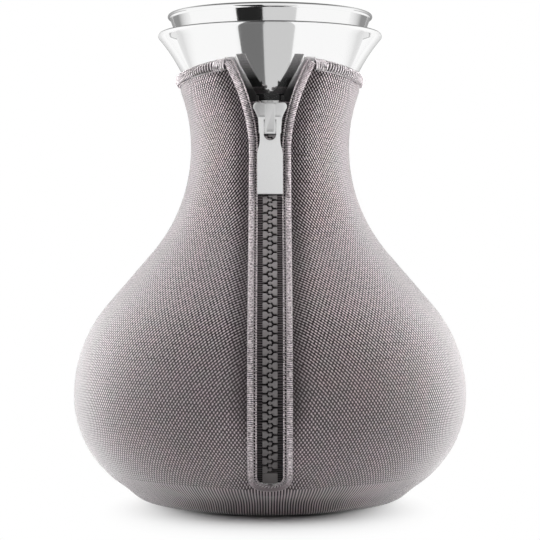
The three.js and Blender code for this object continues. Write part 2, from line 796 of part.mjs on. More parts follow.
// Silicone sleeve that seals the stem in the carafe's neck
const sealOutside = steps(SEAL_BOTTOM, SEAL_TOP, CURVE_STEPS).map((height) => {
  const reach = Math.sqrt((glassArc + GLASS_WALL) ** 2 - height ** 2);
  return [neckAxis - reach - CLEARANCE, NECK_HEIGHT + height];
});
const sealInside = stemRadius + CLEARANCE;
addPiece('funnel_seal', turned([
  [sealInside, NECK_HEIGHT + SEAL_BOTTOM],
  ...sealOutside,
  [sealInside, NECK_HEIGHT + SEAL_TOP],
  [sealInside, NECK_HEIGHT + SEAL_BOTTOM],
]), blackSilicone);

// Filter tube with a flange on the funnel's ledge and rows of slits through its wall

const filterRadius = ledgeRadius - CLEARANCE;
const filterInside = filterRadius - FILTER_WALL;
const flangeRadius = stemInside - CLEARANCE;
const flangeBottom = ledgeTop + CLEARANCE;
const flangeTop = flangeBottom + FLANGE_THICKNESS;
const filterCup = turned([
  [0, FILTER_BOTTOM],
  [filterRadius, FILTER_BOTTOM],
  [filterRadius, flangeBottom],
  [flangeRadius, flangeBottom],
  [flangeRadius, flangeTop],
  [filterInside, flangeTop],
  [filterInside, FILTER_BOTTOM + FILTER_WALL],
  [0, FILTER_BOTTOM + FILTER_WALL],
], TUBE_STEPS);
const slits = steps(0, SLIT_ROWS - 1, SLIT_ROWS - 1).flatMap((row) => (
  steps(0, SLIT_PAIRS - 1, SLIT_PAIRS - 1).map((pair) => {
    const slit = new THREE.BoxGeometry(2 * (filterRadius + FILTER_WALL), SLIT_WIDTH, SLIT_LENGTH);
    slit.rotateZ((pair + (row % 2) / 2) * Math.PI / SLIT_PAIRS);
    slit.translate(0, 0, SLIT_FOOT + row * SLIT_STEP);
    return solid(closed(slit));
  })
));
const filter = slits.reduce((cup, slit) => cup.subtract(slit), solid(filterCup));
addPiece('filter_tube', meshOf(filter), polishedSteel);

// Guide spider: a rim on the filter's flange, three arms and a hub for the plunger rod

const spiderLow = flangeTop + CLEARANCE;
const hubTop = spiderLow + HUB_HEIGHT;
const hubBore = ROD_RADIUS + CLEARANCE;
const spiderArms = steps(0, SPIDER_ARMS - 1, SPIDER_ARMS - 1).map((arm) => {
  const inner = (hubBore + HUB_RADIUS) / 2;
  const outer = flangeRadius - SPIDER_RIM / 2;
  const bar = new THREE.BoxGeometry(outer - inner, SPIDER_ARM_WIDTH, SPIDER_HEIGHT / 2);
  bar.translate((inner + outer) / 2, 0, spiderLow + SPIDER_HEIGHT / 2);
  bar.rotateZ(Math.PI / 2 + arm * 2 * Math.PI / SPIDER_ARMS);
  return closed(bar);
});
addPiece('guide_spider', joined([
  ring(flangeRadius - SPIDER_RIM, flangeRadius, spiderLow, spiderLow + SPIDER_HEIGHT, TUBE_STEPS),
  ring(hubBore, HUB_RADIUS, spiderLow, hubTop, SMALL_STEPS),
  ...spiderArms,
]), blackNylon);

// Plunger, pressed down: its knob stands on the hub and its disc is above the filter's bottom

const knobLow = hubTop + CLEARANCE;
const knobTop = knobLow + KNOB_HEIGHT;
const knobFlareTop = knobLow + KNOB_STEM_LENGTH + KNOB_FLARE;
addPiece('plunger_knob', turned([
  [0, knobLow],
  [KNOB_STEM_RADIUS, knobLow],
  [KNOB_STEM_RADIUS, knobLow + KNOB_STEM_LENGTH],
  ...steps(0, Math.PI / 2, CURVE_STEPS).slice(1).map((angle) => [
    KNOB_RADIUS - (KNOB_RADIUS - KNOB_STEM_RADIUS) * Math.cos(angle),
    knobFlareTop - KNOB_FLARE * (1 - Math.sin(angle)),
  ]),
  ...steps(0, Math.PI / 2, CURVE_STEPS).map((angle) => [
    KNOB_RADIUS * Math.cos(angle),
    knobTop - KNOB_DOME * (1 - Math.sin(angle)),
  ]),
], SMALL_STEPS), blackNylon);

const nutLow = DISC_HEIGHT - CLEARANCE - NUT_HEIGHT;
const rodTop = knobLow - CLEARANCE;
addPiece('plunger_rod', turned([
  [0, nutLow],
  [ROD_RADIUS, nutLow],
  [ROD_RADIUS, rodTop],
  [0, rodTop],
], SMALL_STEPS), polishedSteel);

const discRadius = filterInside - 2 * CLEARANCE - RING_WIDTH;
const ringMiddle = DISC_HEIGHT + DISC_THICKNESS / 2;
const discTop = DISC_HEIGHT + DISC_THICKNESS;
addPiece('plunger_disc', ring(hubBore, discRadius, DISC_HEIGHT, discTop, TUBE_STEPS), polishedSteel);
addPiece('plunger_seal', ring(
  discRadius + CLEARANCE,
  filterInside - CLEARANCE,
  ringMiddle - RING_HEIGHT / 2,
  ringMiddle + RING_HEIGHT / 2,
  TUBE_STEPS,
), blackSilicone);

const nutBlank = turned([
  [0, nutLow],
  [NUT_RADIUS, nutLow],
  [NUT_RADIUS, nutLow + NUT_HEIGHT],
  [0, nutLow + NUT_HEIGHT],
], NUT_SIDES);
const nutBore = turned([
  [0, nutLow - CLEARANCE],
  [hubBore, nutLow - CLEARANCE],
  [hubBore, DISC_HEIGHT],
  [0, DISC_HEIGHT],
], SMALL_STEPS);
addPiece('plunger_nut', meshOf(solid(nutBlank).subtract(solid(nutBore))), polishedSteel);

export default teaMaker;
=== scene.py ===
# %% [markdown]
# Tea maker
#
# A round glass carafe wears a padded, woven cover that zips up at the front. A polished steel funnel
# stands in its neck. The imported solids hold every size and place, and this script gives each piece its
# real surface. It measures in millimetres and turns them to metres where a point is made.

# %% Frame
import math

import bmesh
import bpy
from mathutils import Matrix, Vector


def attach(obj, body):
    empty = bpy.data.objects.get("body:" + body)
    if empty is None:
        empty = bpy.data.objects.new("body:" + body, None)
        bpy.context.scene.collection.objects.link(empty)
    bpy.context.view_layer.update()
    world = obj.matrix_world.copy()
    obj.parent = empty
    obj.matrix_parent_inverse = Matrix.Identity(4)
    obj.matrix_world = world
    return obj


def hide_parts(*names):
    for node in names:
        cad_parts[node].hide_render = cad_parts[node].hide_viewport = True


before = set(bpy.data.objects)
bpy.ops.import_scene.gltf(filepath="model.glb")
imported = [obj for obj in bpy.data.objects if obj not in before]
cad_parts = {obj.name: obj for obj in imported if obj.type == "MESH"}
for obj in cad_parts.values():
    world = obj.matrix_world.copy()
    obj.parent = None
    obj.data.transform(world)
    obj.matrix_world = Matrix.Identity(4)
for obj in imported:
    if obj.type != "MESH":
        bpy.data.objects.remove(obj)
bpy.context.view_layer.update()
MM = 0.001

# %% [markdown]
# Camera
#
# The photograph was taken from straight in front, level with the middle of the carafe. The steel lip is
# seen from a little below and the floor from a little above, which fixes the camera's height, and how
# strongly those circles open fixes its distance. The lens follows from the photograph's size in pixels.

# %% Camera
PHOTO_PIXELS = 540
FOCAL_PIXELS = 1960
CAMERA_DISTANCE = 0.854
CAMERA_HEIGHT = 0.100
SENSOR_WIDTH = 36

camera_data = bpy.data.cameras.new("camera")
camera_data.sensor_width = SENSOR_WIDTH
camera_data.lens = FOCAL_PIXELS / PHOTO_PIXELS * SENSOR_WIDTH
camera = bpy.data.objects.new("camera", camera_data)
camera.location = (0, -CAMERA_DISTANCE, CAMERA_HEIGHT)
# An unturned camera looks straight down, and a quarter turn makes it level.
camera.rotation_euler = (math.radians(90), 0, 0)
bpy.context.scene.collection.objects.link(camera)
bpy.context.scene.camera = camera
bpy.context.scene.view_settings.view_transform = "Standard"
print("lens:", round(camera_data.lens, 1), "mm")

# %% [markdown]
# Shader helpers
#
# Colours are written as sRGB hex values, the way a colour picker shows them, and Blender's shaders want
# linear light, so one function turns the one into the other. A second adds a node to a shader tree with
# its settings, and with its inputs either set or linked.


# %% Shader helpers
def linear(hex_colour):
    """Linear light of a hex colour, by the sRGB curve."""
    shares = [int(hex_colour[start:start + 2], 16) / 255 for start in (1, 3, 5)]
    return (*[s / 12.92 if s <= 0.04045 else ((s + 0.055) / 1.055) ** 2.4 for s in shares], 1)


def add_node(tree, kind, inputs=None, **settings):
    """Adds a node with its settings, and sets each input or links it to a socket."""
    made = tree.nodes.new(kind)
    for name, value in settings.items():
        setattr(made, name, value)
    for name, value in (inputs or {}).items():
        if isinstance(value, bpy.types.NodeSocket):
            tree.links.new(value, made.inputs[name])
        else:
            made.inputs[name].default_value = value
    return made


def new_material(name):
    """An empty material and its shader tree."""
    material = bpy.data.materials.new(name)
    material.use_nodes = True
    tree = material.node_tree
    tree.nodes.clear()
    return material, tree


def finish_material(tree, **inputs):
    """Ends a tree in one principled shader with these inputs."""
    named = {name.replace("_", " "): value for name, value in inputs.items()}
    surface = add_node(tree, "ShaderNodeBsdfPrincipled", named)
    add_node(tree, "ShaderNodeOutputMaterial", {"Surface": surface.outputs["BSDF"]})


print("white is", linear("#ffffff"))

# %% [markdown]
# Studio
#
# The tea maker stands on a white table in a white room, between two large soft boxes that stand a little
# behind it. They make the sides of the cloth pale and leave the front in half shade. A third box hangs
# over it, and two small ones with narrow beams lift the neck. The room is plain white to the camera, to
# metal and to glass, and gives the cloth only a part of that light. Metal also sees its ceiling and its
# far wall, which are darker, so a rim that faces up and the funnel's two ends turn grey.

# %% Rays that see the room
SIDES = ((-1, "left"), (1, "right"))


def seen_rays(tree):
    """A tree's light path, and 1 for rays that come from the camera, a mirror or glass."""
    path = add_node(tree, "ShaderNodeLightPath")
    seen = add_node(tree, "ShaderNodeMath", {
        0: path.outputs["Is Camera Ray"], 1: path.outputs["Is Glossy Ray"],
    }, operation="MAXIMUM")
    seen = add_node(tree, "ShaderNodeMath", {
        0: seen.outputs[0], 1: path.outputs["Is Transmission Ray"],
    }, operation="MAXIMUM")
    return path, seen.outputs[0]


world = bpy.data.worlds.new("white_room")
bpy.context.scene.world = world
world.use_nodes = True
room = world.node_tree
room.nodes.clear()
path, seen = seen_rays(room)
print("room:", world.name)

# %% Ceiling and far wall
CEILING_START = 0.35
CEILING_FULL = 0.85
CEILING_SHADE = 0.85
WALL_START = 0.3
WALL_SHADE = 0.65
GLASS_VEIL = 0.3

direction = add_node(room, "ShaderNodeTexCoord")
rise = add_node(room, "ShaderNodeSeparateXYZ", {0: direction.outputs["Generated"]})
shade = add_node(room, "ShaderNodeMapRange", {
    "Value": rise.outputs["Z"], "From Min": CEILING_START, "From Max": CEILING_FULL,
    "To Min": 0.0, "To Max": CEILING_SHADE,
}, interpolation_type="SMOOTHSTEP")
wall = add_node(room, "ShaderNodeMapRange", {
    "Value": rise.outputs["Y"], "From Min": WALL_START, "From Max": 1.0,
    "To Min": 0.0, "To Max": WALL_SHADE,
}, interpolation_type="SMOOTHSTEP")
# Only a bare mirror shows the ceiling. The far wall's shade is painted lighter for each glass surface
# in front, a painted veil.
bare = add_node(room, "ShaderNodeMath", {
    0: path.outputs["Is Glossy Ray"], 1: path.outputs["Transmission Depth"],
}, operation="SUBTRACT", use_clamp=True)
ceiling = add_node(room, "ShaderNodeMath", {
    0: shade.outputs[0], 1: bare.outputs[0],
}, operation="MULTIPLY")
behind_glass = add_node(room, "ShaderNodeMath", {
    0: path.outputs["Transmission Depth"], 1: -GLASS_VEIL, 2: path.outputs["Is Glossy Ray"],
}, operation="MULTIPLY_ADD", use_clamp=True)
far_wall = add_node(room, "ShaderNodeMath", {
    0: wall.outputs[0], 1: behind_glass.outputs[0],
}, operation="MULTIPLY")
drop = add_node(room, "ShaderNodeMath", {
    0: ceiling.outputs[0], 1: far_wall.outputs[0],
}, operation="MAXIMUM")
print("ceiling shade:", CEILING_SHADE, "far wall shade:", WALL_SHADE)

# %% White room
ROOM_LIGHT = 0.145

lighting = add_node(room, "ShaderNodeBackground", {"Color": linear("#ffffff"), "Strength": ROOM_LIGHT})
strength = add_node(room, "ShaderNodeMath", {0: 1.0, 1: drop.outputs[0]}, operation="SUBTRACT")
white = add_node(room, "ShaderNodeBackground", {
    "Color": linear("#ffffff"), "Strength": strength.outputs[0],
})
shown = add_node(room, "ShaderNodeMixShader", {0: seen, 1: lighting.outputs[0], 2: white.outputs[0]})
add_node(room, "ShaderNodeOutputWorld", {"Surface": shown.outputs[0]})
print("room light on cloth:", ROOM_LIGHT)


# %% Soft boxes
def soft_box(name, place, target, width, height, watts, spread=180):
    """A soft box aimed at a target. The steel mirrors the cards, not the boxes."""
    lamp = bpy.data.lights.new(name, "AREA")
    lamp.shape = "RECTANGLE"
    lamp.size = width
    lamp.size_y = height
    lamp.energy = watts
    lamp.spread = math.radians(spread)
    holder = bpy.data.objects.new(name, lamp)
    holder.location = place
    holder.rotation_euler = (Vector(target) - Vector(place)).to_track_quat("-Z", "Y").to_euler()
    holder.visible_glossy = False
    bpy.context.scene.collection.objects.link(holder)
    print(name, "at", place)


OBJECT_MIDDLE = (0, 0, 0.1)
NECK_MIDDLE = (0, 0, 0.18)
SIDE_WATTS = 15
TOP_WATTS = 8.6
NECK_WATTS = 0.045
NECK_SPREAD = 15

for side, word in SIDES:
    soft_box(f"{word}_soft_box", (side * 0.62, 0.33, 0.2), OBJECT_MIDDLE, 0.6, 0.7, SIDE_WATTS)
soft_box("top_soft_box", (0, -0.1, 0.9), OBJECT_MIDDLE, 0.8, 0.8, TOP_WATTS)
for side, word in SIDES:
    place = (side * 0.45, -0.22, 0.26)
    soft_box(f"{word}_neck_box", place, NECK_MIDDLE, 0.12, 0.12, NECK_WATTS, NECK_SPREAD)

# %% [markdown]
# Flags
#
# The side boxes would bleach the cover's back, which the photograph doesn't show. A photographer puts a
# black board, a flag, between a lamp and what it should leave dark. These two only cast a shadow, and
# neither the camera nor the steel sees them.

# %% Flags
FLAG_ASIDE = 0.13
FLAG_START = 0.065
FLAG_END = 0.75
FLAG_HEIGHT = 0.6


def stage_sheet(name, points, faces):
    """A flat sheet that belongs to the studio, not to the object."""
    mesh = bpy.data.meshes.new(name)
    mesh.from_pydata(points, [], faces)
    sheet = bpy.data.objects.new(name, mesh)
    bpy.context.scene.collection.objects.link(sheet)
    return sheet


flag_corners = ((FLAG_START, 0), (FLAG_END, 0), (FLAG_END, FLAG_HEIGHT), (FLAG_START, FLAG_HEIGHT))
for side, word in SIDES:
    board_points = [(side * FLAG_ASIDE, y, z) for y, z in flag_corners]
    board = stage_sheet(f"{word}_flag", board_points, [(0, 1, 2, 3)])
    board.visible_camera = False
    board.visible_diffuse = False
    board.visible_glossy = False
    board.visible_transmission = False
print("flags", FLAG_ASIDE, "m to each side")

# %% [markdown]
# Table
#
# The table is white paper. To the camera it glows white, except in a soft patch under the carafe, where
# it stays paper and keeps the shadow. There the camera sees the paper a darker grey than the light does,
# a painted shade that deepens the shadow. As a lamp it matters too: the paper near the carafe throws
# light up at the belly, and farther out it is darker, so that the front of the cover stays in half shade.

# %% Glow of the paper
SHADOW_INNER = 0.035
SHADOW_OUTER = 0.115
SHADOW_FORWARD = 0.03
SHADOW_NARROW = 1.6

white_paper, tree = new_material("white_table")
spot = add_node(tree, "ShaderNodeNewGeometry")
flat = add_node(tree, "ShaderNodeVectorMath", {
    0: spot.outputs["Position"], 1: (SHADOW_NARROW, 1, 0), 2: (0, SHADOW_FORWARD, 0),
}, operation="MULTIPLY_ADD")
away = add_node(tree, "ShaderNodeVectorMath", {0: flat.outputs[0]}, operation="LENGTH")
glow = add_node(tree, "ShaderNodeMapRange", {
    "Value": away.outputs["Value"], "From Min": SHADOW_INNER, "From Max": SHADOW_OUTER,
    "To Min": 0.0, "To Max": 1.0,
}, interpolation_type="SMOOTHSTEP")
path, seen = seen_rays(tree)
strength = add_node(tree, "ShaderNodeMath", {0: seen, 1: glow.outputs[0]}, operation="MULTIPLY")
print("the shadow fades out by", SHADOW_OUTER, "m")

# %% Tone of the paper
PAPER_INNER = 0.25
PAPER_OUTER = 0.5
NEAR_PAPER = "#f0f0f0"
FAR_PAPER = "#3c3c3c"
SHADED_PAPER = "#b9b9b9"

reach = add_node(tree, "ShaderNodeVectorMath", {0: spot.outputs["Position"]}, operation="LENGTH")
beyond = add_node(tree, "ShaderNodeMapRange", {
    "Value": reach.outputs["Value"], "From Min": PAPER_INNER, "From Max": PAPER_OUTER,
})
bounce = add_node(tree, "ShaderNodeMix", {
    "Factor": beyond.outputs[0], 6: linear(NEAR_PAPER), 7: linear(FAR_PAPER),
}, data_type="RGBA")
# Painted shade: the camera sees the paper darker than the light that bounces off it does.
paper_tone = add_node(tree, "ShaderNodeMix", {
    "Factor": path.outputs["Is Camera Ray"], 6: bounce.outputs[2], 7: linear(SHADED_PAPER),
}, data_type="RGBA")
paper = add_node(tree, "ShaderNodeBsdfDiffuse", {"Color": paper_tone.outputs[2]})
light = add_node(tree, "ShaderNodeEmission", {"Color": linear("#ffffff"), "Strength": 1.0})
surface = add_node(tree, "ShaderNodeMixShader", {
    0: strength.outputs[0], 1: paper.outputs[0], 2: light.outputs[0],
})
add_node(tree, "ShaderNodeOutputMaterial", {"Surface": surface.outputs[0]})
print("the paper lights the belly from within", PAPER_OUTER, "m")

# %% Table
TABLE_SIZE = 12.0
TABLE_DROP = 0.0001

half = TABLE_SIZE / 2
table_corners = [(-half, -half, 0), (half, -half, 0), (half, half, 0), (-half, half, 0)]
table = stage_sheet("table", table_corners, [(0, 1, 2, 3)])
table.data.materials.append(white_paper)
# The table lies a hair below the base, so that the two faces don't share a plane.
table.location.z = -TABLE_DROP
print("table:", TABLE_SIZE, "m")

# %% [markdown]
# Cards for the steel
#
# Mirror-bright steel shows its surroundings. In the photograph the funnel shows a black card and a grey
# one, which lay on the table before the tea maker, with a dark strip close to its foot, and its ends show
# the grey far end of the table. Each card is a wedge seen from the funnel, so its edges run down the
# funnel as straight lines. Only metal and glass see the cards. Where the glass stands before the steel,
# each card is painted paler for every glass surface that a ray has passed, a painted veil, which is why
# the black stripe turns grey below the glass rim.

# %% Cards
CARD_LIFT = 0.0005
CARD_STEPS = 24
CARD_NARROW = 0.8


def table_card(name, degrees, reaches, tone, fade=None, veil=None):
    """A wedge of card that only metal and glass see.

    fade is the tone that the card turns to, and the distances where that starts and ends. veil is a paler
    tone painted onto the card, a painted veil, and its share for each glass surface that a ray has passed.
    """
    material, tree = new_material(name)
    shade = linear(tone)
    if fade:
        far_tone, fade_start, fade_end = fade
        spot = add_node(tree, "ShaderNodeNewGeometry")
        flat = add_node(tree, "ShaderNodeVectorMath", {
            0: spot.outputs["Position"], 1: (CARD_NARROW, 1, 0),
        }, operation="MULTIPLY")
        away = add_node(tree, "ShaderNodeVectorMath", {0: flat.outputs[0]}, operation="LENGTH")
        share = add_node(tree, "ShaderNodeMapRange", {
            "Value": away.outputs["Value"], "From Min": fade_start, "From Max": fade_end,
        })
        shade = add_node(tree, "ShaderNodeMix", {
            "Factor": share.outputs[0], 6: shade, 7: linear(far_tone),
        }, data_type="RGBA").outputs[2]
    if veil:
        veil_tone, surface_share = veil
        path = add_node(tree, "ShaderNodeLightPath")
        veil_share = add_node(tree, "ShaderNodeMath", {
            0: path.outputs["Transmission Depth"], 1: surface_share,
        }, operation="MULTIPLY", use_clamp=True)
        shade = add_node(tree, "ShaderNodeMix", {
            "Factor": veil_share.outputs[0], 6: shade, 7: linear(veil_tone),
        }, data_type="RGBA").outputs[2]
    shine = add_node(tree, "ShaderNodeEmission", {"Color": shade, "Strength": 1.0})
    add_node(tree, "ShaderNodeOutputMaterial", {"Surface": shine.outputs[0]})
    points, faces = [], []
    start, end = degrees
    for i in range(CARD_STEPS + 1):
        angle = math.radians(start + (end - start) * i / CARD_STEPS)
        points.extend((r * math.sin(angle), -r * math.cos(angle), CARD_LIFT) for r in reaches)
        if i:
            faces.append((2 * i - 2, 2 * i, 2 * i + 1, 2 * i - 1))
    card = stage_sheet(name, points, faces)
    card.data.materials.append(material)
    card.visible_camera = False
    card.visible_diffuse = False
    card.visible_shadow = False
    print(name, start, "to", end, "degrees")
    return card


BLACK_EDGE = -40
CARD_SEAM = -8.5
GREY_EDGE = 31
CARD_NEAR = 0.1
CARD_FAR = 0.8

card_reaches = (CARD_NEAR, CARD_FAR)
table_card("black_card", (BLACK_EDGE, CARD_SEAM), card_reaches, "#262626", veil=("#747474", 1.0))
table_card("grey_card", (CARD_SEAM, GREY_EDGE), card_reaches, "#d4d4d4", veil=("#cecece", 1.0))
table_card("near_card", (BLACK_EDGE, GREY_EDGE), (0.02, CARD_NEAR), "#101010")
rear_card = table_card(
    "rear_card", (106, 254), (0.5, 5.9), "#ffffff",
    fade=("#949494", 0.55, 1.3), veil=("#ffffff", GLASS_VEIL),
)
rear_card.visible_transmission = False

# %% [markdown]
# One outline for every layer
#
# The cover is a turned shape: a base arc, a belly arc, a straight slope and a hollow neck arc, each
# tangent to the next. The glass, the padding, the zip and the slider all lie parallel to it. So a place
# is given by its distance along the outline, its turn from the front and its level, which is the distance
# out from the glass. One function turns that into a point.

# %% Outline
BELLY_RADIUS = 85.0
BELLY_HEIGHT = 46.0
NECK_RADIUS = 34.4
NECK_HEIGHT = 153.0
NECK_ARC = 70.0
SLOPE = math.radians(40.75)
COVER_LIFT = 0.2
COVER_LEVEL = 3.5
COVER_INSIDE = 0.6

base_arc = BELLY_HEIGHT - COVER_LIFT
base_radius = BELLY_RADIUS - base_arc
neck_axis = NECK_RADIUS + NECK_ARC
slope_cos, slope_sin = math.cos(SLOPE), math.sin(SLOPE)
belly_arc = slope_cos * (neck_axis - BELLY_RADIUS) + slope_sin * (NECK_HEIGHT - BELLY_HEIGHT) - NECK_ARC
belly_arc /= 1 - slope_cos
belly_axis = BELLY_RADIUS - belly_arc
slope_foot = Vector((belly_axis + belly_arc * slope_cos, BELLY_HEIGHT + belly_arc * slope_sin))
slope_head = Vector((neck_axis - NECK_ARC * slope_cos, NECK_HEIGHT - NECK_ARC * slope_sin))
slope_length = (slope_head - slope_foot).length
base_end = base_arc * math.pi / 2
belly_end = base_end + belly_arc * SLOPE
slope_end = belly_end + slope_length
print("belly arc", round(belly_arc, 2), "outline to the neck", round(slope_end, 1), "mm")


# %% Places on the outline
def outline_at(along):
    """Radius, height and outward normal of the cover's outside at a distance along it."""
    if along < base_end:
        angle = along / base_arc - math.pi / 2
        normal = Vector((math.cos(angle), math.sin(angle)))
        return base_radius + base_arc * normal.x, BELLY_HEIGHT + base_arc * normal.y, normal
    if along < belly_end:
        angle = (along - base_end) / belly_arc
        normal = Vector((math.cos(angle), math.sin(angle)))
        return belly_axis + belly_arc * normal.x, BELLY_HEIGHT + belly_arc * normal.y, normal
    if along < slope_end:
        place = slope_foot.lerp(slope_head, (along - belly_end) / slope_length)
        return place.x, place.y, Vector((slope_cos, slope_sin))
    angle = (along - slope_end) / NECK_ARC - SLOPE
    normal = Vector((math.cos(angle), -math.sin(angle)))
    return neck_axis - NECK_ARC * normal.x, NECK_HEIGHT - NECK_ARC * normal.y, normal


def along_at(height):
    """Distance along the outline to a height."""
    if height < BELLY_HEIGHT:
        return base_arc * (math.asin((height - BELLY_HEIGHT) / base_arc) + math.pi / 2)
    if height < slope_foot.y:
        return base_end + belly_arc * math.asin((height - BELLY_HEIGHT) / belly_arc)
    if height < slope_head.y:
        return belly_end + slope_length * (height - slope_foot.y) / (slope_head.y - slope_foot.y)
    return slope_end + NECK_ARC * (math.asin((height - NECK_HEIGHT) / NECK_ARC) + SLOPE)


def section_at(along, level):
    """Radius and height of a place at a level."""
    radius, height, normal = outline_at(along)
    inset = COVER_LEVEL - level
    return radius - inset * normal.x, height - inset * normal.y


def spun(radius, turn, height):
    """Point at a radius and a height, turned round the axis from the front."""
    return Vector((radius * math.sin(turn), -radius * math.cos(turn), height)) * MM


def round_at(along, turn, level):
    """Point on the outline at a turn from the front."""
    radius, height = section_at(along, level)
    return spun(radius, turn, height)


def front_at(along, sideways, level):
    """Point on the outline at a distance from the front's middle line."""
    return round_at(along, sideways / outline_at(along)[0], level)


def steps(start, end, count):
    """Even steps from start to end, with both."""
    return [start + (end - start) * i / count for i in range(count + 1)]


def smooth(share):
    """Eases a share in and out between 0 and 1."""
    share = min(1.0, max(0.0, share))
    return share * share * (3 - 2 * share)


print("neck waist radius", round(outline_at(along_at(NECK_HEIGHT))[0], 1), "mm")

# %% [markdown]
# Mesh helpers
#
# Nearly every piece here is a skin over a row of rings: a lathe's rings turn round the axis, and a strip's
# rings follow a line. So one function joins rings into faces, one turns a profile, one draws a short
# thread, and one makes the object, gives it its finish and hangs it on its body.


# %% Skins over rings
def skin(rings, wrap=True, loop=False, caps=False):
    """Points and faces over rings. wrap closes each ring, and loop joins the last to the first."""
    size = len(rings[0])
    points = [point for ring in rings for point in ring]
    faces = []
    for row in range(len(rings) if loop else len(rings) - 1):
        low, high = row * size, (row + 1) % len(rings) * size
        for i in range(size if wrap else size - 1):
            j = (i + 1) % size
            faces.append((low + i, low + j, high + j, high + i))
    if caps:
        last = (len(rings) - 1) * size
        faces.append(tuple(reversed(range(size))))
        faces.append(tuple(range(last, last + size)))
    return points, faces


def gather(parts):
    """One list of points and one of faces from many."""
    points, faces = [], []
    for part_points, part_faces in parts:
        start = len(points)
        points.extend(part_points)
        faces.extend(tuple(start + corner for corner in face) for face in part_faces)
    return points, faces


print("faces of a box's sides:", len(skin([[0] * 4] * 2)[1]))


# %% Turned forms and threads
def turned(profile, facets=128):
    """A profile of radius and height turned round the axis into a closed form."""
    turns = [2 * math.pi * i / facets for i in range(facets)]
    return skin([[spun(r, turn, z) for r, z in profile] for turn in turns], wrap=False, loop=True)


THREAD_TIP = 0.45


def thread(line, radius, sides=6):
    """A thread along points, thinner at its ends."""
    rings = []
    for i, place in enumerate(line):
        run = (line[min(i + 1, len(line) - 1)] - line[max(i - 1, 0)]).normalized()
        side = run.orthogonal().normalized()
        thick = radius * MM * (THREAD_TIP if i in (0, len(line) - 1) else 1.0)
        turns = [Matrix.Rotation(2 * math.pi * k / sides, 3, run) for k in range(sides)]
        rings.append([place + turn @ side * thick for turn in turns])
    return skin(rings, caps=True)


print("a thread's tip has", THREAD_TIP, "of its width")

# %% Pieces
WELD = 1e-7


def make_piece(name, shape, material, body, replaces=(), uv=None, seam=None, sharp=35):
    """A visible piece on its body, with its finish and the solids it stands for."""
    points, faces = shape
    mesh = bpy.data.meshes.new(name)
    mesh.from_pydata([tuple(point) for point in points], [], faces)
    mesh.materials.append(material)
    for map_name, places in (("cloth", uv), ("seam", seam)):
        if places:
            layer = mesh.uv_layers.new(name=map_name)
            for loop in mesh.loops:
                layer.data[loop.index].uv = places[loop.vertex_index]
    form = bmesh.new()
    form.from_mesh(mesh)
    bmesh.ops.remove_doubles(form, verts=form.verts, dist=WELD)
    bmesh.ops.recalc_face_normals(form, faces=form.faces)
    form.to_mesh(mesh)
    form.free()
    mesh.shade_smooth()
    mesh.set_sharp_from_angle(angle=math.radians(sharp))
    made = bpy.data.objects.new(name, mesh)
    bpy.context.scene.collection.objects.link(made)
    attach(made, body)
    if replaces:
        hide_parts(*replaces)
    print(name, len(mesh.polygons), "faces")
    return made


def unmirrored(piece):
    """Keeps a piece out of the steel's mirror, also where the mirror looks out through the glass."""
    piece.visible_glossy = False
    piece.visible_transmission = False


print("points closer than", WELD, "m are joined")

# %% [markdown]
# Borosilicate glass
#
# The carafe is blown from clear borosilicate glass, with a fire-polished rim. It is smooth and hardly
# tinted, so the eye sees it by its edges and by what it bends. A slow unevenness, as blown glass has,
# makes its reflections waver a little. The real glass has an index of 1.47, at which the whole rounded rim
# would show the dark inside of the cover. A lower index keeps the rim pale, and the dark line along its
# top, where the round is thickest, is painted into the glass's colour, a painted reflection of the dark
# ceiling. The steel doesn't mirror the glass, so its image stays clean.

# %% Borosilicate glass
WAVER_WIDTH = 26.0
GLASS_INDEX = 1.3
RIM_LOW = 201.9
RIM_HIGH = 202.4

borosilicate_glass, tree = new_material("blown_borosilicate_glass")
place = add_node(tree, "ShaderNodeTexCoord")
waver = add_node(tree, "ShaderNodeTexNoise", {
    "Vector": place.outputs["Object"], "Scale": 1 / (WAVER_WIDTH * MM), "Detail": 1.0,
})
bump = add_node(tree, "ShaderNodeBump", {
    "Height": waver.outputs["Fac"], "Strength": 0.1, "Distance": 0.2 * MM,
})
height = add_node(tree, "ShaderNodeSeparateXYZ", {0: place.outputs["Object"]})
# Painted reflection: the glass's colour turns dark in a band along the rim's top.
painted_rim_share = add_node(tree, "ShaderNodeMapRange", {
    "Value": height.outputs["Z"], "From Min": RIM_LOW * MM, "From Max": RIM_HIGH * MM,
}, interpolation_type="SMOOTHSTEP")
clear = add_node(tree, "ShaderNodeMix", {
    "Factor": painted_rim_share.outputs[0], 6: linear("#ffffff"), 7: linear("#161616"),
}, data_type="RGBA")
finish_material(
    tree,
    Base_Color=clear.outputs[2],
    Roughness=0.0,
    IOR=GLASS_INDEX,
    Transmission_Weight=1.0,
    Normal=bump.outputs["Normal"],
)
print("glass waver:", WAVER_WIDTH, "mm")

# %% [markdown]
# Glass carafe
#
# The carafe is one blown bulb with an even wall. Its outside is the outline at level nought and its inside
# is the same outline one wall further in. So both are one profile, joined by a round rim, and a lathe
# gives the real form, with true thickness for the light to bend in.

# %% Glass carafe
GLASS_WALL = 2.8
GLASS_RISE = 47.5
ROW_STEP = 2.0
RIM_STEPS = 14

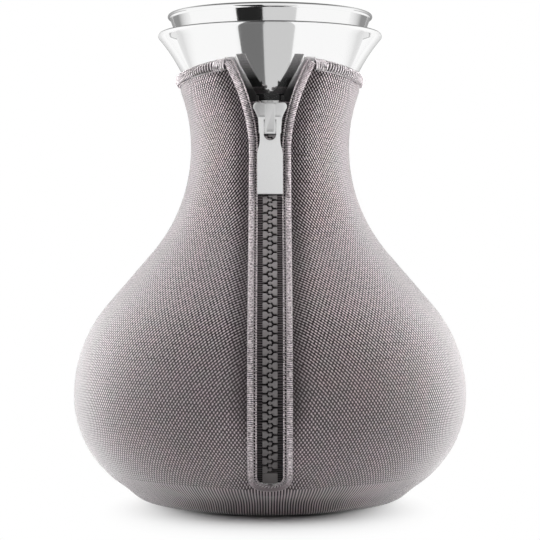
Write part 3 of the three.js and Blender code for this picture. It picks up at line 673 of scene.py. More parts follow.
glass_arc = NECK_ARC + COVER_LEVEL
rim_angle = math.asin(GLASS_RISE / glass_arc)
rim_along = slope_end + NECK_ARC * (rim_angle + SLOPE)
wall_rows = steps(0, rim_along, round(rim_along / ROW_STEP))
rim = []
for angle in steps(0, math.pi, RIM_STEPS)[1:-1]:
    radius, height = section_at(rim_along, (math.cos(angle) - 1) * GLASS_WALL / 2)
    lift = math.sin(angle) * GLASS_WALL / 2
    rim.append((radius + lift * math.sin(rim_angle), height + lift * math.cos(rim_angle)))
outside = [section_at(along, 0) for along in wall_rows]
inside = [section_at(along, -GLASS_WALL) for along in reversed(wall_rows)]
glass = make_piece(
    "carafe_glass",
    turned([(0, outside[0][1]), *outside, *rim, *inside, (0, inside[-1][1])]),
    borosilicate_glass, "carafe", ["glass_carafe"],
)
glass.visible_glossy = False

# %% [markdown]
# Polished stainless steel
#
# The funnel is spun from 18/10 stainless steel and polished, so it is close to a mirror, with the finest
# polishing lines still running round it. Those lines only stretch the reflections slightly, so they are
# a faint bump round the axis. Real ones are hundredths of a millimetre wide, too fine to show, and are
# drawn coarser here.

# %% Polished stainless steel
POLISH_LINE = 0.6

polished_steel, tree = new_material("polished_stainless_steel")
place = add_node(tree, "ShaderNodeTexCoord")
stretched = add_node(tree, "ShaderNodeMapping", {
    "Vector": place.outputs["Object"], "Scale": (0.02, 0.02, 1),
})
lines = add_node(tree, "ShaderNodeTexNoise", {
    "Vector": stretched.outputs[0], "Scale": 1 / (POLISH_LINE * MM), "Detail": 2.0,
})
shine = add_node(tree, "ShaderNodeMapRange", {
    "Value": lines.outputs["Fac"], "To Min": 0.05, "To Max": 0.1,
})
bump = add_node(tree, "ShaderNodeBump", {
    "Height": lines.outputs["Fac"], "Strength": 0.02, "Distance": 0.02 * MM,
})
finish_material(
    tree,
    Base_Color=linear("#f8f8f8"),
    Metallic=1.0,
    Roughness=shine.outputs[0],
    Normal=bump.outputs["Normal"],
)
print("polishing lines:", POLISH_LINE, "mm")

# %% [markdown]
# Pouring funnel
#
# The funnel is a short stem with a flared mouth and a rolled lip. The flare is one smooth curve through
# three points, and the same curve moved in by the wall is its inside. The whole profile is turned on the
# axis. The roll of the lip faces the dark ceiling, which draws the fine line along its edge.

# %% Pouring funnel
STEM_RADIUS = 25.0
STEM_TOP = 171.0
STEM_BOTTOM = 158.0
FUNNEL_WALL = 1.2
LIP_RADIUS = 44.5
LIP_TOP = 211.0
LIP_ROLL = 1.1
FLARE_BEND = Vector((32.0, 177.0))
LEDGE_RADIUS = 21.8
STEM_EDGE = 0.4
FLARE_STEPS = 36
ROLL_STEPS = 16

stem_corner = Vector((STEM_RADIUS, STEM_TOP))
lip_centre = Vector((LIP_RADIUS - LIP_ROLL, LIP_TOP - LIP_ROLL))
flare_end = lip_centre - Vector((0, LIP_ROLL))


def flare_at(share, inset):
    """Point of the funnel's flare, moved in from its outside by inset."""
    place = stem_corner.lerp(FLARE_BEND, share).lerp(FLARE_BEND.lerp(flare_end, share), share)
    run = ((FLARE_BEND - stem_corner).lerp(flare_end - FLARE_BEND, share)).normalized()
    return place.x - inset * run.y, place.y + inset * run.x


flare_shares = steps(0, 1, FLARE_STEPS)
lip_edge = [
    (lip_centre.x + LIP_ROLL * math.cos(angle), lip_centre.y + LIP_ROLL * math.sin(angle))
    for angle in steps(-math.pi / 2, math.pi / 2, ROLL_STEPS)[1:]
]
funnel_profile = [
    (LEDGE_RADIUS, STEM_BOTTOM),
    (STEM_RADIUS - STEM_EDGE, STEM_BOTTOM),
    (STEM_RADIUS, STEM_BOTTOM + STEM_EDGE),
    *[flare_at(share, 0) for share in flare_shares],
    *lip_edge,
    *[flare_at(share, FUNNEL_WALL) for share in reversed(flare_shares)],
    (STEM_RADIUS - FUNNEL_WALL, STEM_BOTTOM + FUNNEL_WALL),
    (LEDGE_RADIUS, STEM_BOTTOM + FUNNEL_WALL),
    (LEDGE_RADIUS, STEM_BOTTOM),
]
make_piece(
    "funnel", turned(funnel_profile, 160), polished_steel,
    "lid", ["pouring_funnel"], sharp=50,
)

# %% [markdown]
# Silicone and nylon
#
# The sleeve that seals the funnel in the neck is moulded silicone, soft and dull, and a little dusty. The
# plunger's knob and its guide are moulded glass-filled nylon, harder, with the fine grain of the mould.


# %% Tones by place
def painted_foot_shade(tree, colour, foot):
    """Painted shade: turns a colour to the foot's darker tone from its upper height down to its lower one.
    """
    tone, low, high = foot
    place = add_node(tree, "ShaderNodeTexCoord")
    height = add_node(tree, "ShaderNodeSeparateXYZ", {0: place.outputs["Object"]})
    above = add_node(tree, "ShaderNodeMapRange", {
        "Value": height.outputs["Z"], "From Min": low * MM, "From Max": high * MM,
    })
    return add_node(tree, "ShaderNodeMix", {
        "Factor": above.outputs[0], 6: linear(tone), 7: colour.outputs[2],
    }, data_type="RGBA")


def painted_corner_shade(tree, colour, depth, shares, tone):
    """Painted shade: turns a colour to a dark tone where the next surface is nearer than a depth."""
    corner = add_node(tree, "ShaderNodeAmbientOcclusion", {"Distance": depth * MM}, samples=8)
    open_share = add_node(tree, "ShaderNodeMapRange", {
        "Value": corner.outputs["AO"], "From Min": shares[0], "From Max": shares[1],
    })
    return add_node(tree, "ShaderNodeMix", {
        "Factor": open_share.outputs[0], 6: linear(tone), 7: colour.outputs[2],
    }, data_type="RGBA")


# %% Silicone and nylon
def moulded(name, light_colour, dark_colour, grain, roughness, gloss=0.5, corner_shade_depth=None, foot=None):
    """Moulded plastic or rubber with a fine grain. Shade is painted into corners narrower than the corner
    depth, and towards the foot.
    """
    material, tree = new_material(name)
    place = add_node(tree, "ShaderNodeTexCoord")
    grit = add_node(tree, "ShaderNodeTexNoise", {
        "Vector": place.outputs["Object"], "Scale": 1 / (grain * MM), "Detail": 3.0,
    })
    tint = add_node(tree, "ShaderNodeMix", {
        "Factor": grit.outputs["Fac"], 6: linear(dark_colour), 7: linear(light_colour),
    }, data_type="RGBA")
    if corner_shade_depth:
        tint = painted_corner_shade(tree, tint, corner_shade_depth, (0.5, 0.92), "#080707")
    if foot:
        tint = painted_foot_shade(tree, tint, foot)
    dull = add_node(tree, "ShaderNodeMapRange", {
        "Value": grit.outputs["Fac"], "To Min": roughness - 0.08, "To Max": roughness + 0.08,
    })
    bump = add_node(tree, "ShaderNodeBump", {
        "Height": grit.outputs["Fac"], "Strength": 0.15, "Distance": 0.05 * MM,
    })
    finish_material(
        tree,
        Base_Color=tint.outputs[2],
        Roughness=dull.outputs[0],
        Specular_IOR_Level=gloss,
        Normal=bump.outputs["Normal"],
    )
    print(name, "grain", grain, "mm")
    return material


black_silicone = moulded("moulded_black_silicone", "#0d0d0e", "#070708", 0.8, 0.6, gloss=0.1)
black_nylon = moulded("moulded_black_nylon", "#2b2b2d", "#1c1c1e", 0.5, 0.45)

# %% [markdown]
# Funnel seal
#
# The sleeve fills the gap between the funnel's stem and the glass. Its outside follows the glass with a
# small clearance and a few shallow ribs, which grip like the ribs of a bottle stopper, so its profile is
# worked out from the neck's arc.

# %% Funnel seal
SEAL_TOP = 170.5
SEAL_BOTTOM = 155.0
FIT_GAP = 0.3
SEAL_RIB = 0.25
SEAL_LIP = 0.5
LIP_ROUND = 0.5
SEAL_RIB_STEP = 6.0
SEAL_STEPS = 44
LIP_SHARE = 0.05

seal_outside = []
for height in steps(SEAL_BOTTOM, SEAL_TOP + SEAL_LIP - LIP_ROUND, SEAL_STEPS):
    reach = math.sqrt((glass_arc + GLASS_WALL) ** 2 - (height - NECK_HEIGHT) ** 2)
    dent = SEAL_RIB * (1 + math.cos((height - SEAL_BOTTOM) * 2 * math.pi / SEAL_RIB_STEP)) / 2
    seal_outside.append((neck_axis - reach - FIT_GAP - dent, height))
seal_inside = STEM_RADIUS + FIT_GAP
lip_inside = flare_at(LIP_SHARE, -FIT_GAP)[0]
seal_profile = [
    (seal_inside, SEAL_BOTTOM),
    *seal_outside,
    (seal_outside[-1][0] - LIP_ROUND, SEAL_TOP + SEAL_LIP),
    (lip_inside, SEAL_TOP + SEAL_LIP),
    (seal_inside, SEAL_TOP),
    (seal_inside, SEAL_BOTTOM),
]
make_piece("seal", turned(seal_profile, 96), black_silicone, "lid", ["funnel_seal"])

# %% [markdown]
# Filter tube
#
# The filter is a thin steel tube with rows of slits, a floor and a flange that rests on the funnel's
# ledge. A boolean cut would leave long thin faces in so thin a wall. Instead the wall is laid out as a
# grid, the cells of a slit are left out, and the cut edges get faces from the outside to the inside.

# %% Filter grid
FILTER_RADIUS = 21.5
FILTER_WALL = 0.8
FILTER_BOTTOM = 14.0
FLANGE_RADIUS = 23.5
FLANGE_BOTTOM = STEM_BOTTOM + FUNNEL_WALL + FIT_GAP
FLANGE_TOP = FLANGE_BOTTOM + 1.0
SLIT_ROWS = 6
SLITS_ROUND = 10
SLIT_FOOT = 26.0
SLIT_STEP = 20.0
SLIT_LENGTH = 9.0
FILTER_COLUMNS = 160
HAIR = 0.1
SAME_PLACE = 1e-9

slit_heights = [SLIT_FOOT + row * SLIT_STEP for row in range(SLIT_ROWS)]
slit_columns = FILTER_COLUMNS // SLITS_ROUND
wall_heights = [FILTER_BOTTOM]
for height in slit_heights:
    wall_heights.extend(steps(height - SLIT_LENGTH / 2, height + SLIT_LENGTH / 2, 2))
wall_heights.append(FLANGE_BOTTOM)


def in_slit(column, low):
    """Whether the cell of this column, above this height, belongs to a slit."""
    for row, height in enumerate(slit_heights):
        if height - SLIT_LENGTH / 2 - HAIR < low < height + SLIT_LENGTH / 2 - HAIR:
            return (column + row % 2 * slit_columns // 2 + 1) % slit_columns < 2
    return False


def filter_point(radius, column, height):
    """Corner of the grid, at the left side of a column."""
    return spun(radius, 2 * math.pi * (column - 0.5) / FILTER_COLUMNS + math.pi / 2, height)


def filter_band(first, last, column):
    """One column's face between two corners of the profile. It is a triangle where one is on the axis."""
    corners = [
        filter_point(first[0], column, first[1]), filter_point(first[0], column + 1, first[1]),
        filter_point(last[0], column + 1, last[1]), filter_point(last[0], column, last[1]),
    ]
    return [c for i, c in enumerate(corners) if i == 0 or (c - corners[i - 1]).length > SAME_PLACE]


print("slits:", SLIT_ROWS * SLITS_ROUND)

# %% Filter tube
filter_inside = FILTER_RADIUS - FILTER_WALL
floor_top = FILTER_BOTTOM + FILTER_WALL
plain_bands = (
    ((0, FILTER_BOTTOM), (FILTER_RADIUS, FILTER_BOTTOM)),
    ((FILTER_RADIUS, FLANGE_BOTTOM), (FLANGE_RADIUS, FLANGE_BOTTOM)),
    ((FLANGE_RADIUS, FLANGE_BOTTOM), (FLANGE_RADIUS, FLANGE_TOP)),
    ((FLANGE_RADIUS, FLANGE_TOP), (filter_inside, FLANGE_TOP)),
    ((filter_inside, FLANGE_TOP), (filter_inside, FLANGE_BOTTOM)),
    ((filter_inside, FILTER_BOTTOM), (filter_inside, floor_top)),
    ((filter_inside, floor_top), (0, floor_top)),
)
filter_faces = []
for column in range(FILTER_COLUMNS):
    for low, high in zip(wall_heights, wall_heights[1:]):
        if not in_slit(column, low):
            for radius in (FILTER_RADIUS, filter_inside):
                filter_faces.append(filter_band((radius, low), (radius, high), column))
            continue
        for edge, beside in ((column, column - 1), (column + 1, column + 1)):
            if not in_slit(beside, low):
                filter_faces.append([
                    filter_point(FILTER_RADIUS, edge, low), filter_point(FILTER_RADIUS, edge, high),
                    filter_point(filter_inside, edge, high), filter_point(filter_inside, edge, low),
                ])
        for height in (low, high):
            if abs(min(abs(height - h) for h in slit_heights) - SLIT_LENGTH / 2) < HAIR:
                filter_faces.append(filter_band((FILTER_RADIUS, height), (filter_inside, height), column))
    for first, last in plain_bands:
        filter_faces.append(filter_band(first, last, column))
filter_shape = gather([(face, [tuple(range(len(face)))]) for face in filter_faces])
make_piece("filter", filter_shape, polished_steel, "lid", ["filter_tube"])

# %% [markdown]
# Plunger
#
# A plunger presses the leaves down: a knob to push, a rod, a steel disc and a soft ring round the disc
# that wipes the filter's wall. All of them are turned parts, so each is a profile on the lathe.

# %% Plunger
HUB_HEIGHT = 3.6
KNOB_HEIGHT = 39.0
KNOB_STEM = 5.0
KNOB_RADIUS = 10.0
KNOB_SHANK = 19.0
KNOB_FLARE = 7.0
KNOB_DOME = 2.5
KNOB_EDGE = 0.4
ROD_RADIUS = 2.5
ROD_EDGE = 0.3
DISC_FOOT = 34.0
DISC_WALL = 1.5
DISC_RADIUS = 19.2
RING_INSIDE = 19.5
RING_OUTSIDE = 20.4
RING_HEIGHT = 2.5
DISC_EDGE = 0.3
RING_EDGE = 0.35
NUT_FOOT = 30.0

knob_foot = FLANGE_TOP + FIT_GAP + HUB_HEIGHT + FIT_GAP
flare_foot = knob_foot + KNOB_SHANK
dome_foot = knob_foot + KNOB_HEIGHT - KNOB_DOME
widening = KNOB_RADIUS - KNOB_STEM
quarter = steps(0, math.pi / 2, 10)
knob_profile = [
    (0, knob_foot),
    (KNOB_STEM - KNOB_EDGE, knob_foot),
    (KNOB_STEM, knob_foot + KNOB_EDGE),
    *[(KNOB_RADIUS - widening * math.cos(a), flare_foot + KNOB_FLARE * math.sin(a)) for a in quarter],
    *[(KNOB_RADIUS * math.cos(a), dome_foot + KNOB_DOME * math.sin(a)) for a in quarter],
]
make_piece("knob", turned(knob_profile, 64), black_nylon, "plunger", ["plunger_knob"])
rod_profile = [
    (0, NUT_FOOT), (ROD_RADIUS - ROD_EDGE, NUT_FOOT), (ROD_RADIUS, NUT_FOOT + ROD_EDGE),
    (ROD_RADIUS, knob_foot - FIT_GAP), (0, knob_foot - FIT_GAP),
]
make_piece("rod", turned(rod_profile, 40), polished_steel, "plunger", ["plunger_rod"])


# %% Plunger disc
def rounded_ring(inner, outer, low, high, round_off):
    """Profile of a ring with rounded edges."""
    corners = ((inner, low, 1, 1), (outer, low, -1, 1), (outer, high, -1, -1), (inner, high, 1, -1))
    profile = []
    for i, (radius, height, inward, upward) in enumerate(corners):
        for angle in steps(math.pi + i * math.pi / 2, math.pi * 1.5 + i * math.pi / 2, 4):
            aside, up = inward + math.cos(angle), upward + math.sin(angle)
            profile.append((radius + round_off * aside, height + round_off * up))
    return [*profile, profile[0]]


ring_middle = DISC_FOOT + DISC_WALL / 2
ring_low, ring_high = ring_middle - RING_HEIGHT / 2, ring_middle + RING_HEIGHT / 2
disc_profile = rounded_ring(ROD_RADIUS + FIT_GAP, DISC_RADIUS, DISC_FOOT, DISC_FOOT + DISC_WALL, DISC_EDGE)
ring_profile = rounded_ring(RING_INSIDE, RING_OUTSIDE, ring_low, ring_high, RING_EDGE)
make_piece("disc", turned(disc_profile, 96), polished_steel, "plunger", ["plunger_disc"])
make_piece(
    "disc_ring", turned(ring_profile, 96), black_silicone, "plunger", ["plunger_seal"],
)

# %% [markdown]
# Guide and nut
#
# The guide and the nut sit deep inside. Their solids already have the right form, so they stay, and only
# get softened edges and a finish.


# %% Pieces kept from the solids
def dress_solid(node_name, material, edge):
    """Keeps a solid, with softened edges and its own finish."""
    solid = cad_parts[node_name]
    solid.data.materials.clear()
    solid.data.materials.append(material)
    bevel = solid.modifiers.new("edges", "BEVEL")
    bevel.width = edge * MM
    bevel.segments = 2
    bevel.limit_method = "ANGLE"
    bevel.angle_limit = math.radians(50)
    solid.data.shade_smooth()
    solid.data.set_sharp_from_angle(angle=math.radians(40))
    print(node_name, "kept")


dress_solid("guide_spider", black_nylon, 0.3)
dress_solid("plunger_nut", polished_steel, 0.25)

# %% [markdown]
# Woven cloth
#
# The cover is a plain weave of light and dark polyester yarn, bonded to soft padding. Where a light yarn
# lies on top there is a light dot, and the dots stand in slanting rows. The cloth is cut as two wide
# panels, so its yarns run straight down the sides and lean in towards the zip where the neck narrows.
# Each point of a panel therefore carries two counts, of yarns round and of yarns along, and the finish
# draws the weave from them. It is drawn a little coarser than the real one, so that the dots show. Low on
# the belly the cloth is stretched and its dots differ less. In the crease beside the piping the cloth is
# painted darker, a painted shade. Under the zip's end the cloth is drawn down to the base, and only its
# upright yarns show. Loose fibre ends catch the light at the edges, which is the sheen.

# %% Yarns
SLANT_FOOT = 30.0
SLANT_TOP = 60.0
SLANT_SHARE = 0.64
LIGHT_YARN = "#d2c2c7"
DARK_YARN = "#130c0f"
GREY_YARN = "#c9c0c2"
PATCH_WIDTH = 9.0
SLUB_SCALE = 0.8
SLUB_STRENGTH = 1.3
LIGHT_START = 0.72
LIGHT_FULL = 1.2
CALM_FOOT = 55.0
CALM_TOP = 80.0
CALM_SHARE = 0.72
LIGHT_COVER = 0.33
# The cloth is painted darker within this width of the slot's edge, a painted shade of the crease, which
# fades out low on the belly.
CREASE_WIDTH = 10.0
CREASE_SHARE = 0.4
CREASE_FOOT = 15.0
CREASE_RISE = 35.0
print("light yarn", LIGHT_YARN, "dark yarn", DARK_YARN)


# %% Woven cloth
def woven_cloth(name, painted_crease_shade):
    """A plain weave drawn from a panel's yarn counts, with shade painted in the crease where the panel has
    one.
    """
    material, tree = new_material(name)
    counts = add_node(tree, "ShaderNodeUVMap", uv_map="cloth")
    count = add_node(tree, "ShaderNodeSeparateXYZ", {0: counts.outputs[0]})
    slants = []
    for operation in ("ADD", "SUBTRACT"):
        sum_of = add_node(tree, "ShaderNodeMath", {
            0: count.outputs["Y"], 1: count.outputs["X"],
        }, operation=operation)
        turn = add_node(tree, "ShaderNodeMath", {0: sum_of.outputs[0], 1: math.pi}, operation="MULTIPLY")
        slants.append(add_node(tree, "ShaderNodeMath", {0: turn.outputs[0]}, operation="COSINE"))
    place = add_node(tree, "ShaderNodeTexCoord")
    height = add_node(tree, "ShaderNodeSeparateXYZ", {0: place.outputs["Object"]})
    slant = add_node(tree, "ShaderNodeMapRange", {
        "Value": height.outputs["Z"], "From Min": SLANT_FOOT * MM, "From Max": SLANT_TOP * MM,
        "To Min": 0.5, "To Max": SLANT_SHARE,
    })
    dots = add_node(tree, "ShaderNodeMix", {
        "Factor": slant.outputs[0], 2: slants[1].outputs[0], 3: slants[0].outputs[0],
    }, data_type="FLOAT")
    slub = add_node(tree, "ShaderNodeTexNoise", {
        "Vector": counts.outputs[0], "Scale": SLUB_SCALE, "Detail": 2.0,
    })
    uneven = add_node(tree, "ShaderNodeMath", {
        0: slub.outputs["Fac"], 1: SLUB_STRENGTH, 2: dots.outputs[0],
    }, operation="MULTIPLY_ADD")
    on_top = add_node(tree, "ShaderNodeMapRange", {
        "Value": uneven.outputs[0], "From Min": LIGHT_START, "From Max": LIGHT_FULL,
    }, interpolation_type="SMOOTHSTEP")
    patch = add_node(tree, "ShaderNodeTexNoise", {
        "Vector": place.outputs["Object"], "Scale": 1 / (PATCH_WIDTH * MM), "Detail": 2.0,
    })
    patch_share = add_node(tree, "ShaderNodeMapRange", {
        "Value": patch.outputs["Fac"], "From Min": 0.35, "From Max": 0.65,
    })
    light_tint = add_node(tree, "ShaderNodeMix", {
        "Factor": patch_share.outputs[0], 6: linear(LIGHT_YARN), 7: linear(GREY_YARN),
    }, data_type="RGBA")
    calm = add_node(tree, "ShaderNodeMapRange", {
        "Value": height.outputs["Z"], "From Min": CALM_FOOT * MM, "From Max": CALM_TOP * MM,
        "To Min": CALM_SHARE, "To Max": 1.0,
    })
    shown = add_node(tree, "ShaderNodeMix", {
        "Factor": calm.outputs[0], 2: LIGHT_COVER, 3: on_top.outputs[0],
    }, data_type="FLOAT").outputs[0]
    # Painted shade: the cloth darkens towards the slot's edge.
    if painted_crease_shade:
        seam = add_node(tree, "ShaderNodeUVMap", uv_map="seam")
        room = add_node(tree, "ShaderNodeSeparateXYZ", {0: seam.outputs[0]})
        closed = add_node(tree, "ShaderNodeMapRange", {
            "Value": room.outputs["X"], "From Min": 0.0, "From Max": CREASE_WIDTH,
            "To Min": CREASE_SHARE, "To Max": 1.0,
        }, interpolation_type="SMOOTHSTEP")
        shown = add_node(tree, "ShaderNodeMath", {
            0: shown, 1: closed.outputs[0],
        }, operation="MULTIPLY").outputs[0]
    colour = add_node(tree, "ShaderNodeMix", {
        "Factor": shown, 6: linear(DARK_YARN), 7: light_tint.outputs[2],
    }, data_type="RGBA")
    bump = add_node(tree, "ShaderNodeBump", {
        "Height": dots.outputs[0], "Strength": 0.6, "Distance": 0.22 * MM,
    })
    finish_material(
        tree,
        Base_Color=colour.outputs[2],
        Roughness=0.85,
        Specular_IOR_Level=0.25,
        Sheen_Weight=1.0,
        Sheen_Roughness=0.4,
        Sheen_Tint=linear("#ffffff"),
        Normal=bump.outputs["Normal"],
    )
    return material


cover_cloth = woven_cloth("woven_polyester_cover", painted_crease_shade=True)
base_cloth = woven_cloth("woven_polyester_base", painted_crease_shade=False)
print("the slant grows from", SLANT_FOOT, "to", SLANT_TOP, "mm")

# %% [markdown]
# Yarn counts
#
# Upright yarns, the warp, are counted sideways from a line on which they run straight down. There are
# more of them to a turn at the belly than at the neck, so they lean in between. Cross yarns, the weft, are
# counted up from the base. They sag a little towards the zip, follow the hem at the top, and end above
# the base, where only the warp shows.

# %% Yarn counts
WARP_AT_NECK = 53.0
WARP_AT_BASE = 113.0
LEAN_TOP = 140.0
LEAN_FOOT = 38.0
STRAIGHT_TURN = 0.78
BELLY_WEFT = 0.93
NECK_WEFT = 1.07
TIGHT_FOOT = 100.0
TIGHT_TOP = 145.0
BASE_HEIGHT = 28.0
BASE_PULL = 0.8
ZIP_SAG = 4.0
SAG_TURN = 0.25
SAG_FOOT = 70.0
SAG_TOP = 120.0
FOLLOW_FOOT = 115.0
FOLLOW_TOP = 155.0
HEM_RISE = 5.0
OUTLINE_END = 260
LAST_WEFT = 14


def weft_density(height):
    """Weft yarns in a millimetre. The cloth is drawn out at the base and tight at the neck."""
    drawn = 1 - BASE_PULL * max(0.0, 1 - height / BASE_HEIGHT) ** 2
    tight = smooth((height - TIGHT_FOOT) / (TIGHT_TOP - TIGHT_FOOT))
    return drawn * (BELLY_WEFT + (NECK_WEFT - BELLY_WEFT) * tight)


weft_to = [0.0]
for whole in range(OUTLINE_END):
    weft_to.append(weft_to[-1] + weft_density(outline_at(whole + 0.5)[1]))


def yarn_counts(along, turn):
    """Warp yarns between here and the panel's straight line, and weft yarns between here and the base."""
    height = outline_at(along)[1]
    spread = smooth((LEAN_TOP - height) / (LEAN_TOP - LEAN_FOOT))
    warp = (WARP_AT_NECK + (WARP_AT_BASE - WARP_AT_NECK) * spread) * (turn - STRAIGHT_TURN)
    sag = ZIP_SAG * math.exp(-turn / SAG_TURN) * (1 - smooth((height - SAG_FOOT) / (SAG_TOP - SAG_FOOT)))
    follow = min(1.0, max(0.0, (height - FOLLOW_FOOT) / (FOLLOW_TOP - FOLLOW_FOOT)))
    level = along + sag - follow * HEM_RISE * max(0.0, math.cos(turn)) ** 2
    whole = math.floor(level)
    weft = weft_to[whole] + (level - whole) * (weft_to[whole + 1] - weft_to[whole])
    return warp, max(weft, LAST_WEFT)


print("yarns at the side, belly:", [round(c, 1) for c in yarn_counts(base_end, math.pi / 2)])

# %% [markdown]
# Cover panels
#
# Each panel is a padded shell that runs from the zip's slot round to the back seam. It could be a lathe
# with a cut, but a grid laid on the outline is cleaner: its columns start at the slot's edge, so the edge
# is a true line and the cloth can roll down to it. It dips at every sewn edge, as padding does when a
# seam pulls it in, and beside the piping that dip, with shade painted into the cloth there, is the dark
# crease. Under its weight the cloth settles at the base into a wider foot, most of all at the front,
# where the zip ends.

# %% Slot
SLIDER_HEIGHT = NECK_HEIGHT + 10.6
SLIDER_LENGTH = 13.6
SLOT_HALF = 9.1
SLOT_BOTTOM = 10.4
SLOT_SPREAD = 11.8
SPREAD_POWER = 1.8
SPREAD_LEAD = 5.84
HEM_HEIGHT = NECK_HEIGHT + 30.0
HEM_BAND = 3.4

slider_centre = along_at(SLIDER_HEIGHT)
slider_foot = slider_centre - SLIDER_LENGTH / 2
slider_head = slider_centre + SLIDER_LENGTH / 2
spread_start = slider_foot - SPREAD_LEAD
slot_foot = along_at(SLOT_BOTTOM)
slot_centre = slot_foot + SLOT_HALF


def hem_top(turn):
    """Distance along the outline to the cover's top edge, which rises at the front."""
    return along_at(HEM_HEIGHT + HEM_RISE * max(0.0, math.cos(turn)) ** 2)


def panel_top(turn):
    """Distance along the outline to the panel's top, under the hem's band."""
    return hem_top(turn) - HEM_BAND - FIT_GAP


slot_top = hem_top(0)


def slot_half(along):
    """Half the slot's width. It has a round end, straight sides and an opening at the top."""
    if along <= slot_foot:
        return FIT_GAP / 2
    if along < slot_centre:
        return max(FIT_GAP / 2, math.sqrt(SLOT_HALF ** 2 - (slot_centre - along) ** 2))
    spread = max(0.0, (along - spread_start) / (slot_top - spread_start))
    return SLOT_HALF + SLOT_SPREAD * spread ** SPREAD_POWER


print("slot from", round(slot_foot, 1), "to", round(slot_top, 1), "mm along")

# %% Panel grid
PANEL_COLUMNS = 130
END_ROWS = 3.0
TOP_ROWS = 24

slot_end_rows = [slot_centre - SLOT_HALF * math.cos(angle) for angle in steps(0, math.pi / 2, 14)]
panel_rows = [
    *steps(0, slot_foot - END_ROWS, 12)[:-1],
    *steps(slot_foot - END_ROWS, slot_foot, 6)[:-1],
    *slot_end_rows[:-1],
    *steps(slot_centre, spread_start, round((spread_start - slot_centre) / ROW_STEP)),
]
# The columns stand closer together at both edges, where the cloth rolls.
column_shares = [0.3 * t + 0.7 * (1 - math.cos(math.pi * t)) / 2 for t in steps(0, 1, PANEL_COLUMNS)]
print("panel grid:", len(panel_rows) + TOP_ROWS, "rows of", PANEL_COLUMNS + 1, "points")

# %% Padding
SLOT_DIP = 2.0
SLOT_ROLL = 5.0
END_DIP = 0.9
END_ROLL = 1.3
SEAM_DIP = 0.7
SEAM_ROLL = 1.5
MOST_DIP = 2.2
BASE_SAG = 9.0
FRONT_SAG = 8.0
SAG_HEIGHT = 8.0


def cover_level(edge, slot_room, back_room, top_room):
    """Level of the cloth's outside, which dips towards a sewn edge."""
    side = smooth((edge - slot_foot) / SLOT_HALF)
    deep = END_DIP + (SLOT_DIP - END_DIP) * side
    roll = END_ROLL + (SLOT_ROLL - END_ROLL) * side
    dip = deep * math.exp(-(slot_room / roll) ** 2)
    dip += SEAM_DIP * (math.exp(-(back_room / SEAM_ROLL) ** 2) + math.exp(-(top_room / SEAM_ROLL) ** 2))
    return COVER_LEVEL - min(MOST_DIP, dip)


def base_sag(height, turn):
    """How far the settled cloth stands out from the turned shape, near the base."""
    share = max(0.0, 1 - height / SAG_HEIGHT) ** 2
    return share * (BASE_SAG + FRONT_SAG * max(0.0, math.cos(turn)) ** 4)


def panel_point(along, turn, level):
    """Point of the cloth, with its settled foot."""
    radius, height = section_at(along, level)
    return spun(radius + base_sag(height, turn), turn, height)


print("the foot stands out", BASE_SAG + FRONT_SAG, "mm at the front")

# %% Cover panels
BACK_GAP = 1.4
SEAM_GAP = 0.03


def cover_panel(side):
    """One panel's shape, the yarn counts of its points and their room to the slot's edge."""
    rows = [(along, lambda turn, along=along: along) for along in panel_rows]
    for share in steps(0, 1, TOP_ROWS)[1:]:
        def place(turn, share=share):
            return spread_start + (panel_top(turn) - spread_start) * share
        rows.append((place(slot_half(slot_top) / NECK_RADIUS), place))
    rings, counts, rooms = [], [], []
    for edge, place in rows:
        radius = outline_at(edge)[0]
        first = slot_half(edge) / radius if edge > slot_foot else SEAM_GAP / radius
        last = math.pi - BACK_GAP / radius
        # Low on the belly the painted crease shade fades out.
        crease_shade_fade = CREASE_WIDTH * (1 - smooth((outline_at(edge)[1] - CREASE_FOOT) / CREASE_RISE))
        turns = [first + (last - first) * share for share in column_shares]
        outer, inner, row_counts, row_rooms = [], [], [], []
        for turn in turns:
            along = place(turn)
            slot_room = (turn - first) * radius
            if edge < slot_centre:
                slot_room = max(0.0, math.hypot(turn * radius, slot_centre - edge) - SLOT_HALF)
            level = cover_level(edge, slot_room, (last - turn) * radius, panel_top(turn) - along)
            outer.append(panel_point(along, side * turn, level))
            inner.append(panel_point(along, side * turn, COVER_INSIDE))
            row_counts.append(yarn_counts(along, turn))
            row_rooms.append((slot_room + crease_shade_fade, 0.0))
        rings.append([*outer, *reversed(inner)])
        counts.extend([*row_counts, *reversed(row_counts)])
        rooms.extend([*row_rooms, *reversed(row_rooms)])
    return skin(rings, caps=False), counts, rooms


for side, word in SIDES:
    panel_shape, panel_counts, panel_rooms = cover_panel(side)
    panel = make_piece(
        f"cover_{word}", panel_shape, cover_cloth, "carafe", [f"cover_{word}_panel"],
        uv=panel_counts, seam=panel_rooms, sharp=60,
    )
    panel.visible_glossy = False

# %% [markdown]
# Cover base
#
# The bottom is one round padded panel, sewn in under the settled edge of the sides. It is a ring of
# sections that follow that edge with a small gap, so it is wider at the front, as the edge is.

# %% Cover base
BASE_THICKNESS = 3.1
YARN_ROUND = 0.75
YARN_ALONG = 1.05
BASE_FACETS = 128
BASE_EYE = 0.01

